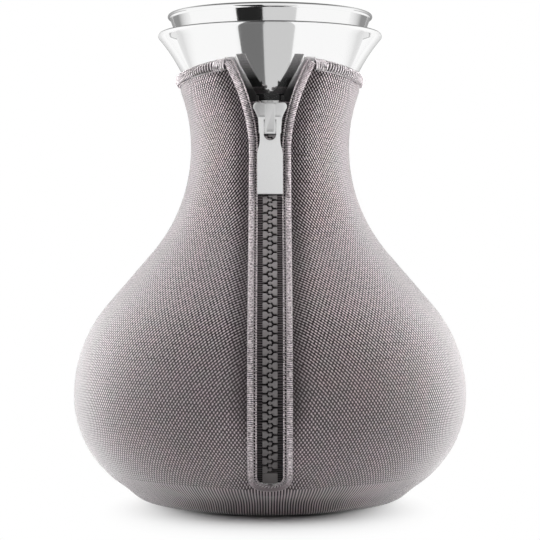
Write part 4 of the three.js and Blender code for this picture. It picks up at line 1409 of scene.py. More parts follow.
base_rings = []
for i in range(BASE_FACETS):
    turn = 2 * math.pi * i / BASE_FACETS
    foot = base_radius + base_sag(COVER_LIFT, turn) - FIT_GAP
    top = base_radius + base_sag(BASE_THICKNESS, turn) - FIT_GAP
    profile = [
        (BASE_EYE, 0), (foot / 2, 0), (foot - 0.6, 0), (foot - 0.2, 0.15), (foot, 0.4),
        (top, BASE_THICKNESS), (BASE_EYE, BASE_THICKNESS),
    ]
    base_rings.append([spun(r, turn, z) for r, z in profile])
base_shape = skin(base_rings, loop=True)
base_counts = [(point.x / (YARN_ROUND * MM), point.y / (YARN_ALONG * MM)) for point in base_shape[0]]
base = make_piece(
    "cover_bottom", base_shape, base_cloth, "carafe", ["cover_base"],
    uv=base_counts, sharp=60,
)

# %% [markdown]
# Binding and thread
#
# The zip's edges are bound with a narrow knitted polyester band, folded into a bead and sewn down along
# its inner side. It is the same mauve grey as the light yarn, with fine ribs across it, and round the
# slot's end, where its fold lies low and flat, it is painted greyer, a painted shade. Its fuzz is drawn
# coarser than real fibre, so that it shows. The thread is spun polyester in the same grey, so it shows by
# its gloss and by the dark holes between stitches.


# %% Ribbed bands
RIB_PITCH = 0.75
FUZZ_WIDTH = 0.85
# Heights over which the binding is painted greyer round the slot's end, a painted shade.
PIPING_FOOT = (12.5, 19.0)


def ribbed_band(name, crest, hollow, rib_share, rib_strength, sheen, fuzz_range=(0.0, 1.0), foot=None):
    """Knitted or woven band with ribs across it, mixed with fuzz. foot is a tone and its two heights."""
    material, tree = new_material(name)
    counts = add_node(tree, "ShaderNodeUVMap", uv_map="cloth")
    count = add_node(tree, "ShaderNodeSeparateXYZ", {0: counts.outputs[0]})
    turn = add_node(tree, "ShaderNodeMath", {0: count.outputs["Y"], 1: 2 * math.pi}, operation="MULTIPLY")
    rib = add_node(tree, "ShaderNodeMath", {0: turn.outputs[0]}, operation="COSINE")
    place = add_node(tree, "ShaderNodeTexCoord")
    fuzz = add_node(tree, "ShaderNodeTexNoise", {
        "Vector": place.outputs["Object"], "Scale": 1 / (FUZZ_WIDTH * MM), "Detail": 3.0,
    })
    mixed = add_node(tree, "ShaderNodeMath", {
        0: rib.outputs[0], 1: rib_share, 2: fuzz.outputs["Fac"],
    }, operation="MULTIPLY_ADD")
    share = add_node(tree, "ShaderNodeMapRange", {
        "Value": mixed.outputs[0], "From Min": fuzz_range[0], "From Max": fuzz_range[1],
    })
    colour = add_node(tree, "ShaderNodeMix", {
        "Factor": share.outputs[0], 6: linear(hollow), 7: linear(crest),
    }, data_type="RGBA")
    if foot:
        colour = painted_foot_shade(tree, colour, foot)
    bump = add_node(tree, "ShaderNodeBump", {
        "Height": mixed.outputs[0], "Strength": rib_strength, "Distance": 0.12 * MM,
    })
    finish_material(
        tree,
        Base_Color=colour.outputs[2],
        Roughness=0.75,
        Specular_IOR_Level=0.3,
        Sheen_Weight=sheen,
        Sheen_Roughness=0.4,
        Normal=bump.outputs["Normal"],
    )
    print(name, "ribs every", RIB_PITCH, "mm")
    return material


binding = ribbed_band(
    "knitted_polyester_binding", "#e6dcdf", "#423a3d", 0.2, 0.8, 0.4,
    fuzz_range=(0.3, 0.72), foot=("#756c6f", *PIPING_FOOT),
)

# %% Spun thread
THREAD_TWIST = 0.5


def spun_thread(name, crest, hollow):
    """Sewing thread, with the light and dark of its twist."""
    material, tree = new_material(name)
    place = add_node(tree, "ShaderNodeTexCoord")
    twist = add_node(tree, "ShaderNodeTexNoise", {
        "Vector": place.outputs["Object"], "Scale": 1 / (THREAD_TWIST * MM), "Detail": 2.0,
    })
    colour = add_node(tree, "ShaderNodeMix", {
        "Factor": twist.outputs["Fac"], 6: linear(hollow), 7: linear(crest),
    }, data_type="RGBA")
    bump = add_node(tree, "ShaderNodeBump", {
        "Height": twist.outputs["Fac"], "Strength": 0.3, "Distance": 0.05 * MM,
    })
    finish_material(
        tree,
        Base_Color=colour.outputs[2],
        Roughness=0.6,
        Sheen_Weight=0.3,
        Normal=bump.outputs["Normal"],
    )
    print(name, "twist", THREAD_TWIST, "mm")
    return material


sewing_thread = spun_thread("spun_polyester_thread", "#c6bec0", "#877e81")

# %% [markdown]
# Zip piping
#
# The binding runs down one side of the slot, round its end and up the other. It is a strip with the
# profile of a folded band, drawn along that line: a bead on the outside, and a thin rolled edge on the
# inside, towards the zip. Round the slot's end the fold lies flatter.

# %% Line of the piping
PIPING_HALF = 1.8
PIPING_END = 1.5
PIPING_STEP = 1.2
END_STEPS = 28
OPEN_STEPS = 40

inset = FIT_GAP + PIPING_HALF
piping_rows = [
    *steps(slot_centre, spread_start, round((spread_start - slot_centre) / PIPING_STEP)),
    *steps(spread_start, slot_top - PIPING_END, OPEN_STEPS)[1:],
]
piping_side = [Vector((along, slot_half(along) - inset)) for along in piping_rows]
turn_reach = SLOT_HALF - inset
piping_turn = [
    Vector((slot_centre - turn_reach * math.sin(angle), -turn_reach * math.cos(angle)))
    for angle in steps(0, math.pi, END_STEPS)[1:-1]
]
piping_line = [*[Vector((p.x, -p.y)) for p in reversed(piping_side)], *piping_turn, *piping_side]
print("piping places:", len(piping_line))

# %% Zip piping
BEAD_PROFILE = [
    (-1.8, 1.3), (-2.05, 2.4), (-2.08, 3.0), (-1.85, 3.6), (-1.4, 3.95), (-0.8, 4.05), (-0.2, 3.9),
    (0.25, 3.5), (0.42, 2.9), (0.4, 2.0),
]
ROLL_REACH = 1.42
ROLL_LEVEL = 2.5
ROLL_RADIUS = 0.36
EDGE_LOW = 2.0
END_FLAT = 0.5

edge_profile = [
    (ROLL_REACH + ROLL_RADIUS * math.cos(angle), ROLL_LEVEL + ROLL_RADIUS * math.sin(angle))
    for angle in steps(math.pi, -math.pi, 8)[:-1]
]


def line_frame(line, i):
    """Place on a line of along and sideways, and the direction across it, towards the zip."""
    run = (line[min(i + 1, len(line) - 1)] - line[max(i - 1, 0)]).normalized()
    return line[i], Vector((run.y, -run.x))


def edge_level(along, level):
    """Level of a place on the edging, which lies flatter round the slot's end."""
    return EDGE_LOW + (level - EDGE_LOW) * (1 - END_FLAT * smooth((slot_centre - along) / SLOT_HALF))


def edging(profile):
    """A strip with this profile along the piping's line, and its counts of ribs."""
    rings, counts = [], []
    distance = 0.0
    for i, spot in enumerate(piping_line):
        distance += (spot - piping_line[max(i - 1, 0)]).length
        place, across = line_frame(piping_line, i)
        rings.append([
            front_at(place.x + across.x * reach, place.y + across.y * reach, edge_level(place.x, level))
            for reach, level in profile
        ])
        counts.extend((reach / RIB_PITCH, distance / RIB_PITCH) for reach, _ in profile)
    return skin(rings, caps=True), counts


bead_shape, bead_counts = edging(BEAD_PROFILE)
piping = make_piece(
    "piping", bead_shape, binding, "carafe", ["zip_piping"], uv=bead_counts, sharp=80,
)
unmirrored(piping)
edge_shape, edge_counts = edging(edge_profile)
edge = make_piece("piping_edge", edge_shape, binding, "carafe", uv=edge_counts, sharp=80)
unmirrored(edge)

# %% [markdown]
# Piping stitches
#
# Slanting stitches lie across the groove between the bead and the rolled edge. Each is a short thread of
# its own, placed by walking along the piping's line at an even pitch, because a bump would not show the
# dark holes between them.

# %% Piping stitches
STITCH_PITCH = 1.45
STITCH_RADIUS = 0.2
STITCH_LINE = ((0.2, -0.35, 3.2), (0.5, -0.15, 3.1), (1.0, 0.15, 2.95), (1.5, 0.35, 2.75))


def walk(line, pitch):
    """Places at an even pitch along a line, each with the direction across it."""
    found = []
    left = pitch / 2
    for i in range(len(line) - 1):
        length = (line[i + 1] - line[i]).length
        while left <= length:
            across = line_frame(line, i)[1]
            found.append((line[i].lerp(line[i + 1], left / length), across))
            left += pitch
        left -= length
    return found


stitches = []
for place, across in walk(piping_line, STITCH_PITCH):
    run = Vector((-across.y, across.x))
    line = []
    for reach, forward, level in STITCH_LINE:
        spot = place + across * reach + run * forward
        line.append(front_at(spot.x, spot.y, edge_level(place.x, level)))
    stitches.append(thread(line, STITCH_RADIUS))
stitching = make_piece("piping_stitches", gather(stitches), sewing_thread, "carafe", sharp=80)
unmirrored(stitching)

# %% [markdown]
# Hem
#
# The cover's top edge is overlocked: one thread wraps over the edge again and again, and a needle thread
# locks it along the bottom of the band. The band is a soft roll, and every wrap is a thread of its own,
# because at this size the wraps are what the eye sees. At the two front corners the threads fan out.

# %% Hem band
HEM_PROUD = 0.35
HEM_SUNK = 0.5
HEM_ROWS = 160

overlocked_edge = ribbed_band("overlocked_polyester_edge", "#4f474a", "#1e181a", 0.5, 0.5, 0.4)
hem_end = slot_half(slot_top) / outline_at(slot_top)[0]


def hem_section(turn):
    """Section of the hem's soft roll, as distances along the outline and levels."""
    low = panel_top(turn) + FIT_GAP
    points = []
    for angle in steps(0, math.pi, 9):
        rise = HEM_BAND * (1 - math.cos(angle)) / 2
        swell = (HEM_PROUD + HEM_SUNK) * math.sin(angle) ** 0.5
        points.append((low + rise, COVER_LEVEL - HEM_SUNK + swell))
    return [(low, COVER_INSIDE), *points, (low + HEM_BAND, COVER_INSIDE)]


hem_turns = steps(hem_end, 2 * math.pi - hem_end, HEM_ROWS)
hem_rings, hem_counts = [], []
for turn in hem_turns:
    section = hem_section(turn)
    hem_rings.append([round_at(along, turn, level) for along, level in section])
    hem_counts.extend((along / RIB_PITCH, turn * NECK_RADIUS / RIB_PITCH) for along, _ in section)
hem = make_piece(
    "hem", skin(hem_rings, caps=True), overlocked_edge, "carafe", ["neck_hem"],
    uv=hem_counts, sharp=80,
)
unmirrored(hem)

# %% Hem overlock
WRAP_PITCH = 1.5
WRAP_RADIUS = 0.25
WRAP_SLANT = 0.5
WRAP_MARGIN = 0.01
WRAP_LINE = (
    (-0.5, 3.2, 0), (-0.1, 3.65, 0.1), (0.8, 4.0, 0.3), (1.8, 4.05, 0.5), (2.8, 3.8, 0.7),
    (3.6, 3.1, 0.85), (3.75, 2.2, 1), (3.5, 1.0, 1),
)
LOCK_RADIUS = 0.2
LOCK_DROP = 0.35
LOCK_LINE = ((0.1, 2.9), (0.3, 3.3), (0.7, 3.3), (0.9, 2.9))
FAN_THREADS = 6
FAN_PITCH = 0.8
FAN_RADIUS = 0.3
FAN_START = 0.6
FAN_GROWTH = 0.3
FAN_LINE = ((-1.2, 3.3, 0.9), (0.4, 4.2, 0.8), (2.0, 4.4, 0.45), (3.4, 4.0, 0), (4.0, 2.6, -0.4))

hem_thread = spun_thread("light_spun_polyester_thread", "#f2ecee", "#aca3a6")
fan_low = panel_top(hem_end) + FIT_GAP
hem_radius = outline_at(hem_top(math.pi / 2))[0]
wrap_count = round((2 * math.pi - 2 * hem_end) * hem_radius / WRAP_PITCH)
wraps = []
for turn in steps(hem_end + WRAP_MARGIN, 2 * math.pi - hem_end - WRAP_MARGIN, wrap_count):
    low = panel_top(turn) + FIT_GAP
    wrap = [
        round_at(low + rise, turn + slant * WRAP_SLANT / hem_radius, level)
        for rise, level, slant in WRAP_LINE
    ]
    wraps.append(thread(wrap, WRAP_RADIUS))
    lock = [
        round_at(low - LOCK_DROP, turn + shift * WRAP_PITCH / hem_radius, level)
        for shift, level in LOCK_LINE
    ]
    wraps.append(thread(lock, LOCK_RADIUS))
for side, _ in SIDES:
    for i in range(FAN_THREADS):
        line = []
        for rise, level, shift in FAN_LINE:
            sideways = FAN_PITCH * (i + shift * (1 + i * FAN_GROWTH)) - FAN_START
            line.append(round_at(fan_low + rise, side * (hem_end + sideways / hem_radius), level))
        wraps.append(thread(line, FAN_RADIUS))
overlock = make_piece("hem_overlock", gather(wraps), hem_thread, "carafe", sharp=80)
unmirrored(overlock)

# %% [markdown]
# Back seam
#
# At the back the two panels meet in a narrow bound seam, with a row of topstitches on each side. Its
# profile has two small rolls with a groove between them, drawn up the back from the base to the hem.

# %% Back seam
SEAM_PROFILE = [
    (-1.1, 1.05), (-1.1, 2.9), (-0.85, 3.4), (-0.5, 3.6), (-0.2, 3.45), (0, 3.0),
    (0.2, 3.45), (0.5, 3.6), (0.85, 3.4), (1.1, 2.9), (1.1, 1.05),
]
SEAM_START = 3.0

seam_top = panel_top(math.pi)
seam_rings, seam_counts = [], []
for along in steps(SEAM_START, seam_top, round((seam_top - SEAM_START) / ROW_STEP)):
    radius = outline_at(along)[0]
    seam_rings.append([round_at(along, math.pi + reach / radius, level) for reach, level in SEAM_PROFILE])
    seam_counts.extend((reach / RIB_PITCH, along / RIB_PITCH) for reach, _ in SEAM_PROFILE)
make_piece(
    "seam", skin(seam_rings, caps=True), binding, "carafe", ["back_seam"],
    uv=seam_counts, sharp=80,
)

# %% Topstitches
TOPSTITCH_PITCH = 3.0
TOPSTITCH_REACH = 1.9
TOPSTITCH_MARGIN = 2.0
TOPSTITCH_LINE = ((-1.1, 2.95), (-0.8, 3.5), (0.8, 3.5), (1.1, 2.95))

first_stitch, last_stitch = SEAM_START + TOPSTITCH_MARGIN, seam_top - TOPSTITCH_MARGIN
topstitches = []
for along in steps(first_stitch, last_stitch, round((last_stitch - first_stitch) / TOPSTITCH_PITCH)):
    for side, _ in SIDES:
        line = []
        for forward, level in TOPSTITCH_LINE:
            spot = min(max(along + forward, 0), seam_top)
            line.append(round_at(spot, math.pi + side * TOPSTITCH_REACH / outline_at(spot)[0], level))
        topstitches.append(thread(line, STITCH_RADIUS))
make_piece("seam_stitches", gather(topstitches), sewing_thread, "carafe", sharp=80)

# %% [markdown]
# Zip
#
# It is a coarse moulded zip. Its tapes are black ribbed polyester, woven tight, and their cut upper ends
# fray to grey. Its teeth are grey acetal, shot straight onto the tape's corded edge, with black gaps
# between them, and shade is painted into their narrow corners. Each tooth has a block, a neck and a round
# head, and the heads of the two rows stand in turn on the middle line. The teeth are cut from one outline,
# bevelled and laid on the cover's curve one by one. Tape and teeth are painted darker towards the foot of
# the slot, a painted shade, as the slot is deep and narrow there.

# %% Zip finishes
# Heights over which the tapes and the teeth are painted darker downwards, a painted shade.
TAPE_END = (175.5, 187.5)
TAPE_FOOT = (4.0, 90.0)
TEETH_FOOT = (0.0, 90.0)

tape_weave = ribbed_band(
    "woven_black_zip_tape", "#665e61", "#0d0b0c", 0.5, 0.6, 0.1, foot=("#0d0b0c", *TAPE_FOOT),
)
# The open tape is painted near black below its pale tip, a painted shade.
open_tape_with_painted_shade = ribbed_band(
    "woven_black_tape_end", "#d0cecf", "#8a8889", 0.1, 0.2, 0.0, foot=("#0a0909", *TAPE_END),
)
black_acetal = moulded("moulded_black_acetal", "#161515", "#0e0d0d", 0.35, 0.5, gloss=0.3)
# The grey teeth get painted shade in their narrow corners and towards the slot's foot.
acetal = moulded(
    "moulded_grey_acetal", "#858081", "#747070", 0.35, 0.42,
    corner_shade_depth=1.2, foot=("#4a4747", *TEETH_FOOT),
)

# %% [markdown]
# Zip tapes
#
# Under the closed rows the tapes nearly meet. Above the slider they bend apart to the slot's edges and
# show their plain backs. So each tape is a ribbed strip up to the slider and a smooth one above it. The
# smooth one is painted near black from the slider up to close under its pale tip, a painted shade. Its
# last two millimetres are a piece of their own, kept out of the steel's mirror, where the image of the
# pale tip would lie beside the real one.

# %% Edges of the tapes
TAPE_EDGE = 1.5
TAPE_MEET = 0.25
TAPE_DROP = 0.4
TAPE_SHOW = 1.6
ROW_SPREAD = 3.2
FLANGE_LENGTH = 6.0
PIPING_WIDTH = 2 * PIPING_HALF

parting_start = slider_foot + FLANGE_LENGTH
tape_top = slot_top - TAPE_DROP


def row_offset(along):
    """How far each row of teeth has moved aside, inside the slider."""
    return ROW_SPREAD * max(0.0, (along - parting_start) / (slider_head - parting_start))


def tape_inner(along):
    """Distance from the middle line to a tape's inner edge."""
    if along < slider_head:
        parted = smooth((along - parting_start) / (slider_head - parting_start))
        return row_offset(along) + TAPE_MEET + (TAPE_EDGE - TAPE_MEET) * parted
    share = (along - slider_head) / (tape_top - slider_head)
    top = slot_half(tape_top) - FIT_GAP - PIPING_WIDTH - TAPE_SHOW
    return ROW_SPREAD + TAPE_EDGE + (top - ROW_SPREAD - TAPE_EDGE) * share


print("tape edge at the top:", round(tape_inner(tape_top), 1), "mm from the middle")

# %% Zip tapes
TAPE_LEVEL = 1.2
TAPE_THICKNESS = 0.5
TAPE_TAIL = 1.2
TAPE_RIB = 1.15
TAPE_RIB_HEIGHT = 0.42
TAPE_COLUMNS = 10
MIRROR_DROP = 2.2
STOP_GAP = 2.3
EDGE_CORD = 0.35
CORD_WIDTH = 0.35
RIBS_FADE = 3.0
ROWS_PER_RIB = 5

tip_start = slot_top - MIRROR_DROP
zip_foot = slot_foot + FIT_GAP + PIPING_WIDTH + STOP_GAP


def zip_tape(side, start, end):
    """One length of tape, with ribs below the slider and a corded edge above it."""
    rings, counts = [], []
    for along in steps(start, end, round((end - start) / TAPE_RIB * ROWS_PER_RIB)):
        rib = TAPE_RIB_HEIGHT * (1 + math.cos(2 * math.pi * along / TAPE_RIB)) / 2
        inner, outer = tape_inner(along), slot_half(along) - FIT_GAP
        above = smooth((along - slider_head) / RIBS_FADE)
        over, under = [], []
        for share in steps(0, 1, TAPE_COLUMNS):
            sideways = side * (inner + (outer - inner) * share)
            cord = EDGE_CORD * above * math.exp(-((outer - inner) * share / CORD_WIDTH) ** 2)
            height = TAPE_LEVEL + TAPE_THICKNESS + rib * (1 - above) + cord
            over.append(front_at(along, sideways, height))
            under.append(front_at(along, sideways, TAPE_LEVEL))
            counts.append((sideways / RIB_PITCH, along / TAPE_RIB))
        counts.extend(reversed(counts[-TAPE_COLUMNS - 1:]))
        rings.append([*over, *reversed(under)])
    return skin(rings, caps=True), counts


for side, word in SIDES:
    shape, counts = zip_tape(side, zip_foot - TAPE_TAIL, slider_head)
    make_piece(
        f"tape_{word}", shape, tape_weave, "carafe", [f"zip_tape_{word}"],
        uv=counts, sharp=60,
    )
    shape, counts = zip_tape(side, slider_head, tip_start)
    make_piece(f"tape_open_{word}", shape, open_tape_with_painted_shade, "carafe", uv=counts, sharp=60)
    shape, counts = zip_tape(side, tip_start, tape_top)
    tip = make_piece(f"tape_tip_{word}", shape, open_tape_with_painted_shade, "carafe", uv=counts, sharp=60)
    unmirrored(tip)

# %% Tooth
TOOTH_PITCH = 3.62
TOOTH_LENGTH = 2.4
TOOTH_LOW = TAPE_LEVEL + TAPE_THICKNESS + FIT_GAP
TOOTH_HIGH = TOOTH_LOW + 1.4
TOOTH_BEVEL = 0.22
CHAIN_HALF = 3.0
BLOCK_HALF = 1.44
NECK_HALF = 0.5
NECK_REACH = 0.8
HEAD_RADIUS = 0.8
HEAD_REACH = 0.02
BLOCK_EDGE = 0.25
BLOCK_REACH = 1.5
NECK_CORNER = (1.25, -1.2)
HEAD_START = 0.22 * math.pi


def tooth_outline():
    """Outline of one tooth: distance from the chain's middle, and height from the tooth's own."""
    block = [
        (CHAIN_HALF, -BLOCK_HALF + BLOCK_EDGE), (CHAIN_HALF - BLOCK_EDGE, -BLOCK_HALF),
        (BLOCK_REACH, -BLOCK_HALF),
    ]
    neck = [NECK_CORNER, (NECK_REACH, -NECK_HALF)]
    head = [
        (HEAD_REACH + HEAD_RADIUS * math.cos(angle), HEAD_RADIUS * math.sin(angle))
        for angle in steps(-HEAD_START, HEAD_START - 2 * math.pi, 12)
    ]
    upper = [(x, -y) for x, y in reversed([*block, *neck])]
    return [*block, *neck, *head, *upper]


def inset_outline(outline, inset):
    """The outline moved in by inset, corner by corner."""
    moved = []
    for i, corner in enumerate(outline):
        before, after = Vector(outline[i - 1]), Vector(outline[(i + 1) % len(outline)])
        run = (after - before).normalized()
        moved.append((corner[0] - inset * run.y, corner[1] + inset * run.x))
    return moved


def slab(outline, low, high, bevel, place):
    """A bevelled slab over a clockwise outline. place turns a corner and a level into a point."""
    rings = [
        [place(x, y, low) for x, y in outline],
        [place(x, y, high - bevel) for x, y in outline],
        [place(x, y, high - bevel * 0.3) for x, y in inset_outline(outline, -bevel * 0.4)],
        [place(x, y, high) for x, y in inset_outline(outline, -bevel)],
    ]
    return skin(rings, caps=True)


tooth = tooth_outline()
print("corners of a tooth:", len(tooth))

# %% Zip teeth
STOP_LENGTH = 4.5

stop_top = outline_at(zip_foot)[1] + STOP_LENGTH


def teeth_row(side, first):
    """One row of teeth from the height of its first, up into the slider."""
    head_height = outline_at(slider_head)[1]
    count = math.floor((head_height - TOOTH_LENGTH / 2 - first) / TOOTH_PITCH) + 1
    parts = []
    for i in range(count):
        height = first + i * TOOTH_PITCH

        def place(x, y, level, height=height):
            along = along_at(height + y)
            return front_at(along, side * (x + row_offset(along)), level)
        parts.append(slab(tooth, TOOTH_LOW, TOOTH_HIGH, TOOTH_BEVEL, place))
    return gather(parts)


first_tooth = stop_top + FIT_GAP + TOOTH_LENGTH / 2
for (side, word), shift in zip(SIDES, (0, TOOTH_PITCH / 2)):
    row = teeth_row(side, first_tooth + shift)
    make_piece(f"teeth_{word}", row, acetal, "carafe", [f"zip_teeth_{word}"])

# %% [markdown]
# Zip stops
#
# Stops end the rows, moulded onto the tapes as the teeth are. A box holds both rows together at the foot,
# and a small black block on each tape keeps the slider from running off at the top.

# %% Zip stops
STOP_CORNER = 0.7
TOP_STOP_CORNER = 0.3
TOP_STOP_LENGTH = 2.0
TOP_STOP_WIDTH = 1.1


def rounded_box(left, right, low, high, corner):
    """Clockwise outline of a box with round corners."""
    outline = []
    centres = ((right - corner, low + corner), (left + corner, low + corner),
               (left + corner, high - corner), (right - corner, high - corner))
    for i, (x, y) in enumerate(centres):
        start = -i * math.pi / 2
        outline.extend(
            (x + corner * math.cos(angle), y + corner * math.sin(angle))
            for angle in steps(start, start - math.pi / 2, 5)
        )
    return outline


def on_zip(x, y, level):
    """Point for a distance sideways, a distance along and a level."""
    return front_at(y, x, level)


bottom_stop = rounded_box(-CHAIN_HALF, CHAIN_HALF, zip_foot, along_at(stop_top), STOP_CORNER)
make_piece(
    "bottom_stop", slab(bottom_stop, TOOTH_LOW, TOOTH_HIGH, TOOTH_BEVEL, on_zip),
    acetal, "carafe", ["zip_bottom_stop"],
)
stop_foot = slider_head + FIT_GAP
stop_inner = tape_inner(stop_foot)
for side, word in SIDES:
    edges = sorted((side * stop_inner, side * (stop_inner + TOP_STOP_WIDTH)))
    top_stop = rounded_box(*edges, stop_foot, stop_foot + TOP_STOP_LENGTH, TOP_STOP_CORNER)
    make_piece(
        f"top_stop_{word}", slab(top_stop, TOOTH_LOW, TOOTH_HIGH, TOOTH_BEVEL, on_zip),
        black_acetal, "carafe", [f"zip_top_stop_{word}"],
    )

# %% [markdown]
# Slider and puller
#
# The slider is a zinc casting with a satin nickel finish: bright, with soft, wide reflections. Shade is
# painted into its narrow corners, deeper on the body than on the strap and the puller. Its front plate is
# shaped like a butterfly, a strap crosses it from top to bottom, and the flat puller hangs from the strap
# by its window. The puller's face is plain. The satin grain is drawn coarser than the real one, which is
# too fine to show.

# %% Satin zinc
SATIN_GRAIN = 0.25


def satin_zinc(name, corner_shade_depth):
    """Satin metal, with shade painted where the next surface is nearer than the depth."""
    material, tree = new_material(name)
    place = add_node(tree, "ShaderNodeTexCoord")
    grain = add_node(tree, "ShaderNodeTexNoise", {
        "Vector": place.outputs["Object"], "Scale": 1 / (SATIN_GRAIN * MM), "Detail": 3.0,
    })
    dull = add_node(tree, "ShaderNodeMapRange", {
        "Value": grain.outputs["Fac"], "To Min": 0.3, "To Max": 0.46,
    })
    bright = add_node(tree, "ShaderNodeMix", {
        "Factor": grain.outputs["Fac"], 6: linear("#d8d8d8"), 7: linear("#ececec"),
    }, data_type="RGBA")
    tone = painted_corner_shade(tree, bright, corner_shade_depth, (0.3, 0.8), "#2c2c2c")
    bump = add_node(tree, "ShaderNodeBump", {
        "Height": grain.outputs["Fac"], "Strength": 0.08, "Distance": 0.03 * MM,
    })
    finish_material(
        tree,
        Base_Color=tone.outputs[2],
        Metallic=1.0,
        Roughness=dull.outputs[0],
        Normal=bump.outputs["Normal"],
    )
    print(name, "grain", SATIN_GRAIN, "mm")
    return material


# Two copies with painted shade in their corners: deep on the body, light on the strap and the puller.
deep_shaded_zinc = satin_zinc("satin_nickel_zinc_deep_painted_shade", 1.8)
light_shaded_zinc = satin_zinc("satin_nickel_zinc_light_painted_shade", 0.5)

# %% [markdown]
# Slider body
#
# A front plate and a smaller back plate are joined by a post at the top, which parts the rows, and by a
# flange on each side, which presses them together. The plates are rows of rings across the zip, so they
# follow the neck's curve, and the front one widens to two shoulders.

# %% Front plate
PLATE_LOW = 3.9
PLATE_HIGH = 5.1
SLIDER_HALF = 4.6
SHOULDER_HALF = 6.9
WING_START = 4.8
WING_LENGTH = 6.4
WING_POWER = 1.6
EAR_START = 0.8
EAR_DIP = 0.55
FOOT_CORNER = 1.0
SHOULDER_CORNER = 1.8
PLATE_EDGE = 0.35


def plate_half(share):
    """Half the front plate's width at a share of its length from the foot."""
    up = share * SLIDER_LENGTH
    wing = min(1.0, max(0.0, (up - WING_START) / WING_LENGTH))
    half = SLIDER_HALF + (SHOULDER_HALF - SLIDER_HALF) * wing ** WING_POWER
    for end, corner in ((up, FOOT_CORNER), (SLIDER_LENGTH - up, SHOULDER_CORNER)):
        if end < corner:
            half -= corner - math.sqrt(corner ** 2 - (corner - end) ** 2)
    return half


def plate_ring(along, half, low, high, edge, columns=10, dip=0.0):
    """A plate's ring across the zip, with soft upper edges. dip lowers its middle against its ends."""
    across = [(-half, low), (-half, high - edge), (-half + edge * 0.3, high - edge * 0.3)]
    across.extend((x, high) for x in steps(-half + edge, half - edge, columns))
    across.extend([(half - edge * 0.3, high - edge * 0.3), (half, high - edge), (half, low)])
    across.extend((x, low) for x in steps(half, -half, columns)[1:-1])
    return [front_at(along - dip * (1 - (x / half) ** 2), x, level) for x, level in across]


plate_shares = [*steps(0, 0.08, 6)[1:], *steps(0.08, 0.86, 24)[1:], *steps(0.86, 1, 12)[1:-1], 0.998]
front_plate = skin([
    plate_ring(
        slider_foot + share * SLIDER_LENGTH, plate_half(share), PLATE_LOW, PLATE_HIGH, PLATE_EDGE,
        dip=EAR_DIP * smooth((share - EAR_START) / (1 - EAR_START)),
    )
    for share in plate_shares
], caps=True)
print("front plate rings:", len(plate_shares))

# %% Slider body
BACK_LOW = 0.375
BACK_HIGH = 0.825
BACK_HALF = 4.2
BACK_EDGE = 0.1
FLANGE_WIDTH = 1.1
FLANGE_START = 0.8
POST_HALF = 0.9
POST_LENGTH = 2.2
POST_SUNK = 0.2


def block(first, last, left, right, low, high):
    """A plain block that follows the neck's curve."""
    middle, half = (left + right) / 2, (right - left) / 2
    rings = []
    for along in steps(first, last, 6):
        ring = [(middle - half, low), (middle - half, high), (middle + half, high), (middle + half, low)]
        rings.append([front_at(along, x, level) for x, level in ring])
    return skin(rings, caps=True)


back_plate = skin([
    plate_ring(along, BACK_HALF, BACK_LOW, BACK_HIGH, BACK_EDGE)
    for along in steps(slider_foot, slider_head, 8)
], caps=True)
plate_middle = (PLATE_LOW + PLATE_HIGH) / 2
post_low = BACK_LOW + POST_SUNK
slider_parts = [
    front_plate,
    back_plate,
    block(slider_head - POST_LENGTH, slider_head, -POST_HALF, POST_HALF, post_low, plate_middle),
]
for side, _ in SIDES:
    edges = sorted((side * (SLIDER_HALF - FLANGE_WIDTH), side * SLIDER_HALF))
    slider_parts.append(block(slider_foot + FLANGE_START, parting_start, *edges, TOOTH_LOW, plate_middle))
slider = make_piece("slider", gather(slider_parts), deep_shaded_zinc, "slider", ["slider_body"])
unmirrored(slider)

# %% [markdown]
# Strap and puller
#
# Both are flat plates with a hole and softly rounded edges. A filled curve with a bevel gives that in one
# go, where cutting and rounding a mesh would take several steps. The curve's mesh is then bent over the
# slider as the strap, or hung from it as the puller.


# %% Flat metal plates
def cut_plate(name, outlines, thickness, edge):
    """Points and faces of a flat plate with round edges. Outlines after the first are holes."""
    drawn = bpy.data.curves.new(name, "CURVE")
    drawn.dimensions = "2D"
    drawn.fill_mode = "BOTH"
    drawn.extrude = thickness / 2 - edge
    drawn.bevel_depth = edge
    drawn.bevel_resolution = 3
    drawn.offset = -edge
    for outline in outlines:
        spline = drawn.splines.new("POLY")
        spline.points.add(len(outline) - 1)
        for point, (x, y) in zip(spline.points, outline):
            point.co = (x, y, 0, 1)
        spline.use_cyclic_u = True
    holder = bpy.data.objects.new(name, drawn)
    bpy.context.scene.collection.objects.link(holder)
    mesh = bpy.data.meshes.new_from_object(holder.evaluated_get(bpy.context.evaluated_depsgraph_get()))
    points = [vertex.co.copy() for vertex in mesh.vertices]
    faces = [tuple(face.vertices) for face in mesh.polygons]
    bpy.data.objects.remove(holder)
    bpy.data.meshes.remove(mesh)
    bpy.data.curves.remove(drawn)
    print(name, "cut:", len(faces), "faces")
    return points, faces


def curve_points(start, first_pull, second_pull, end, count):
    """Points on a Bezier curve, without its first."""
    a, b, c, d = (Vector(p) for p in (start, first_pull, second_pull, end))
    made = []
    for t in steps(0, 1, count)[1:]:
        s = 1 - t
        made.append(tuple(a * s ** 3 + b * 3 * t * s ** 2 + c * 3 * t ** 2 * s + d * t ** 3))
    return made


# %% Slider bridge
BRIDGE_HALF = 1.9
BRIDGE_WALL = 1.0
BRIDGE_EDGE = 0.25
BRIDGE_CORNER = 0.5
LEG_SUNK = 0.3
PULLER_THICKNESS = 1.2
PULLER_BAR = 1.2
PULLER_PLAY = 0.5
NOTCH_HALF = 1.25
NOTCH_HEIGHT = 0.6
NOTCH_RISE = 1.1
NOTCH_CORNER = 0.15

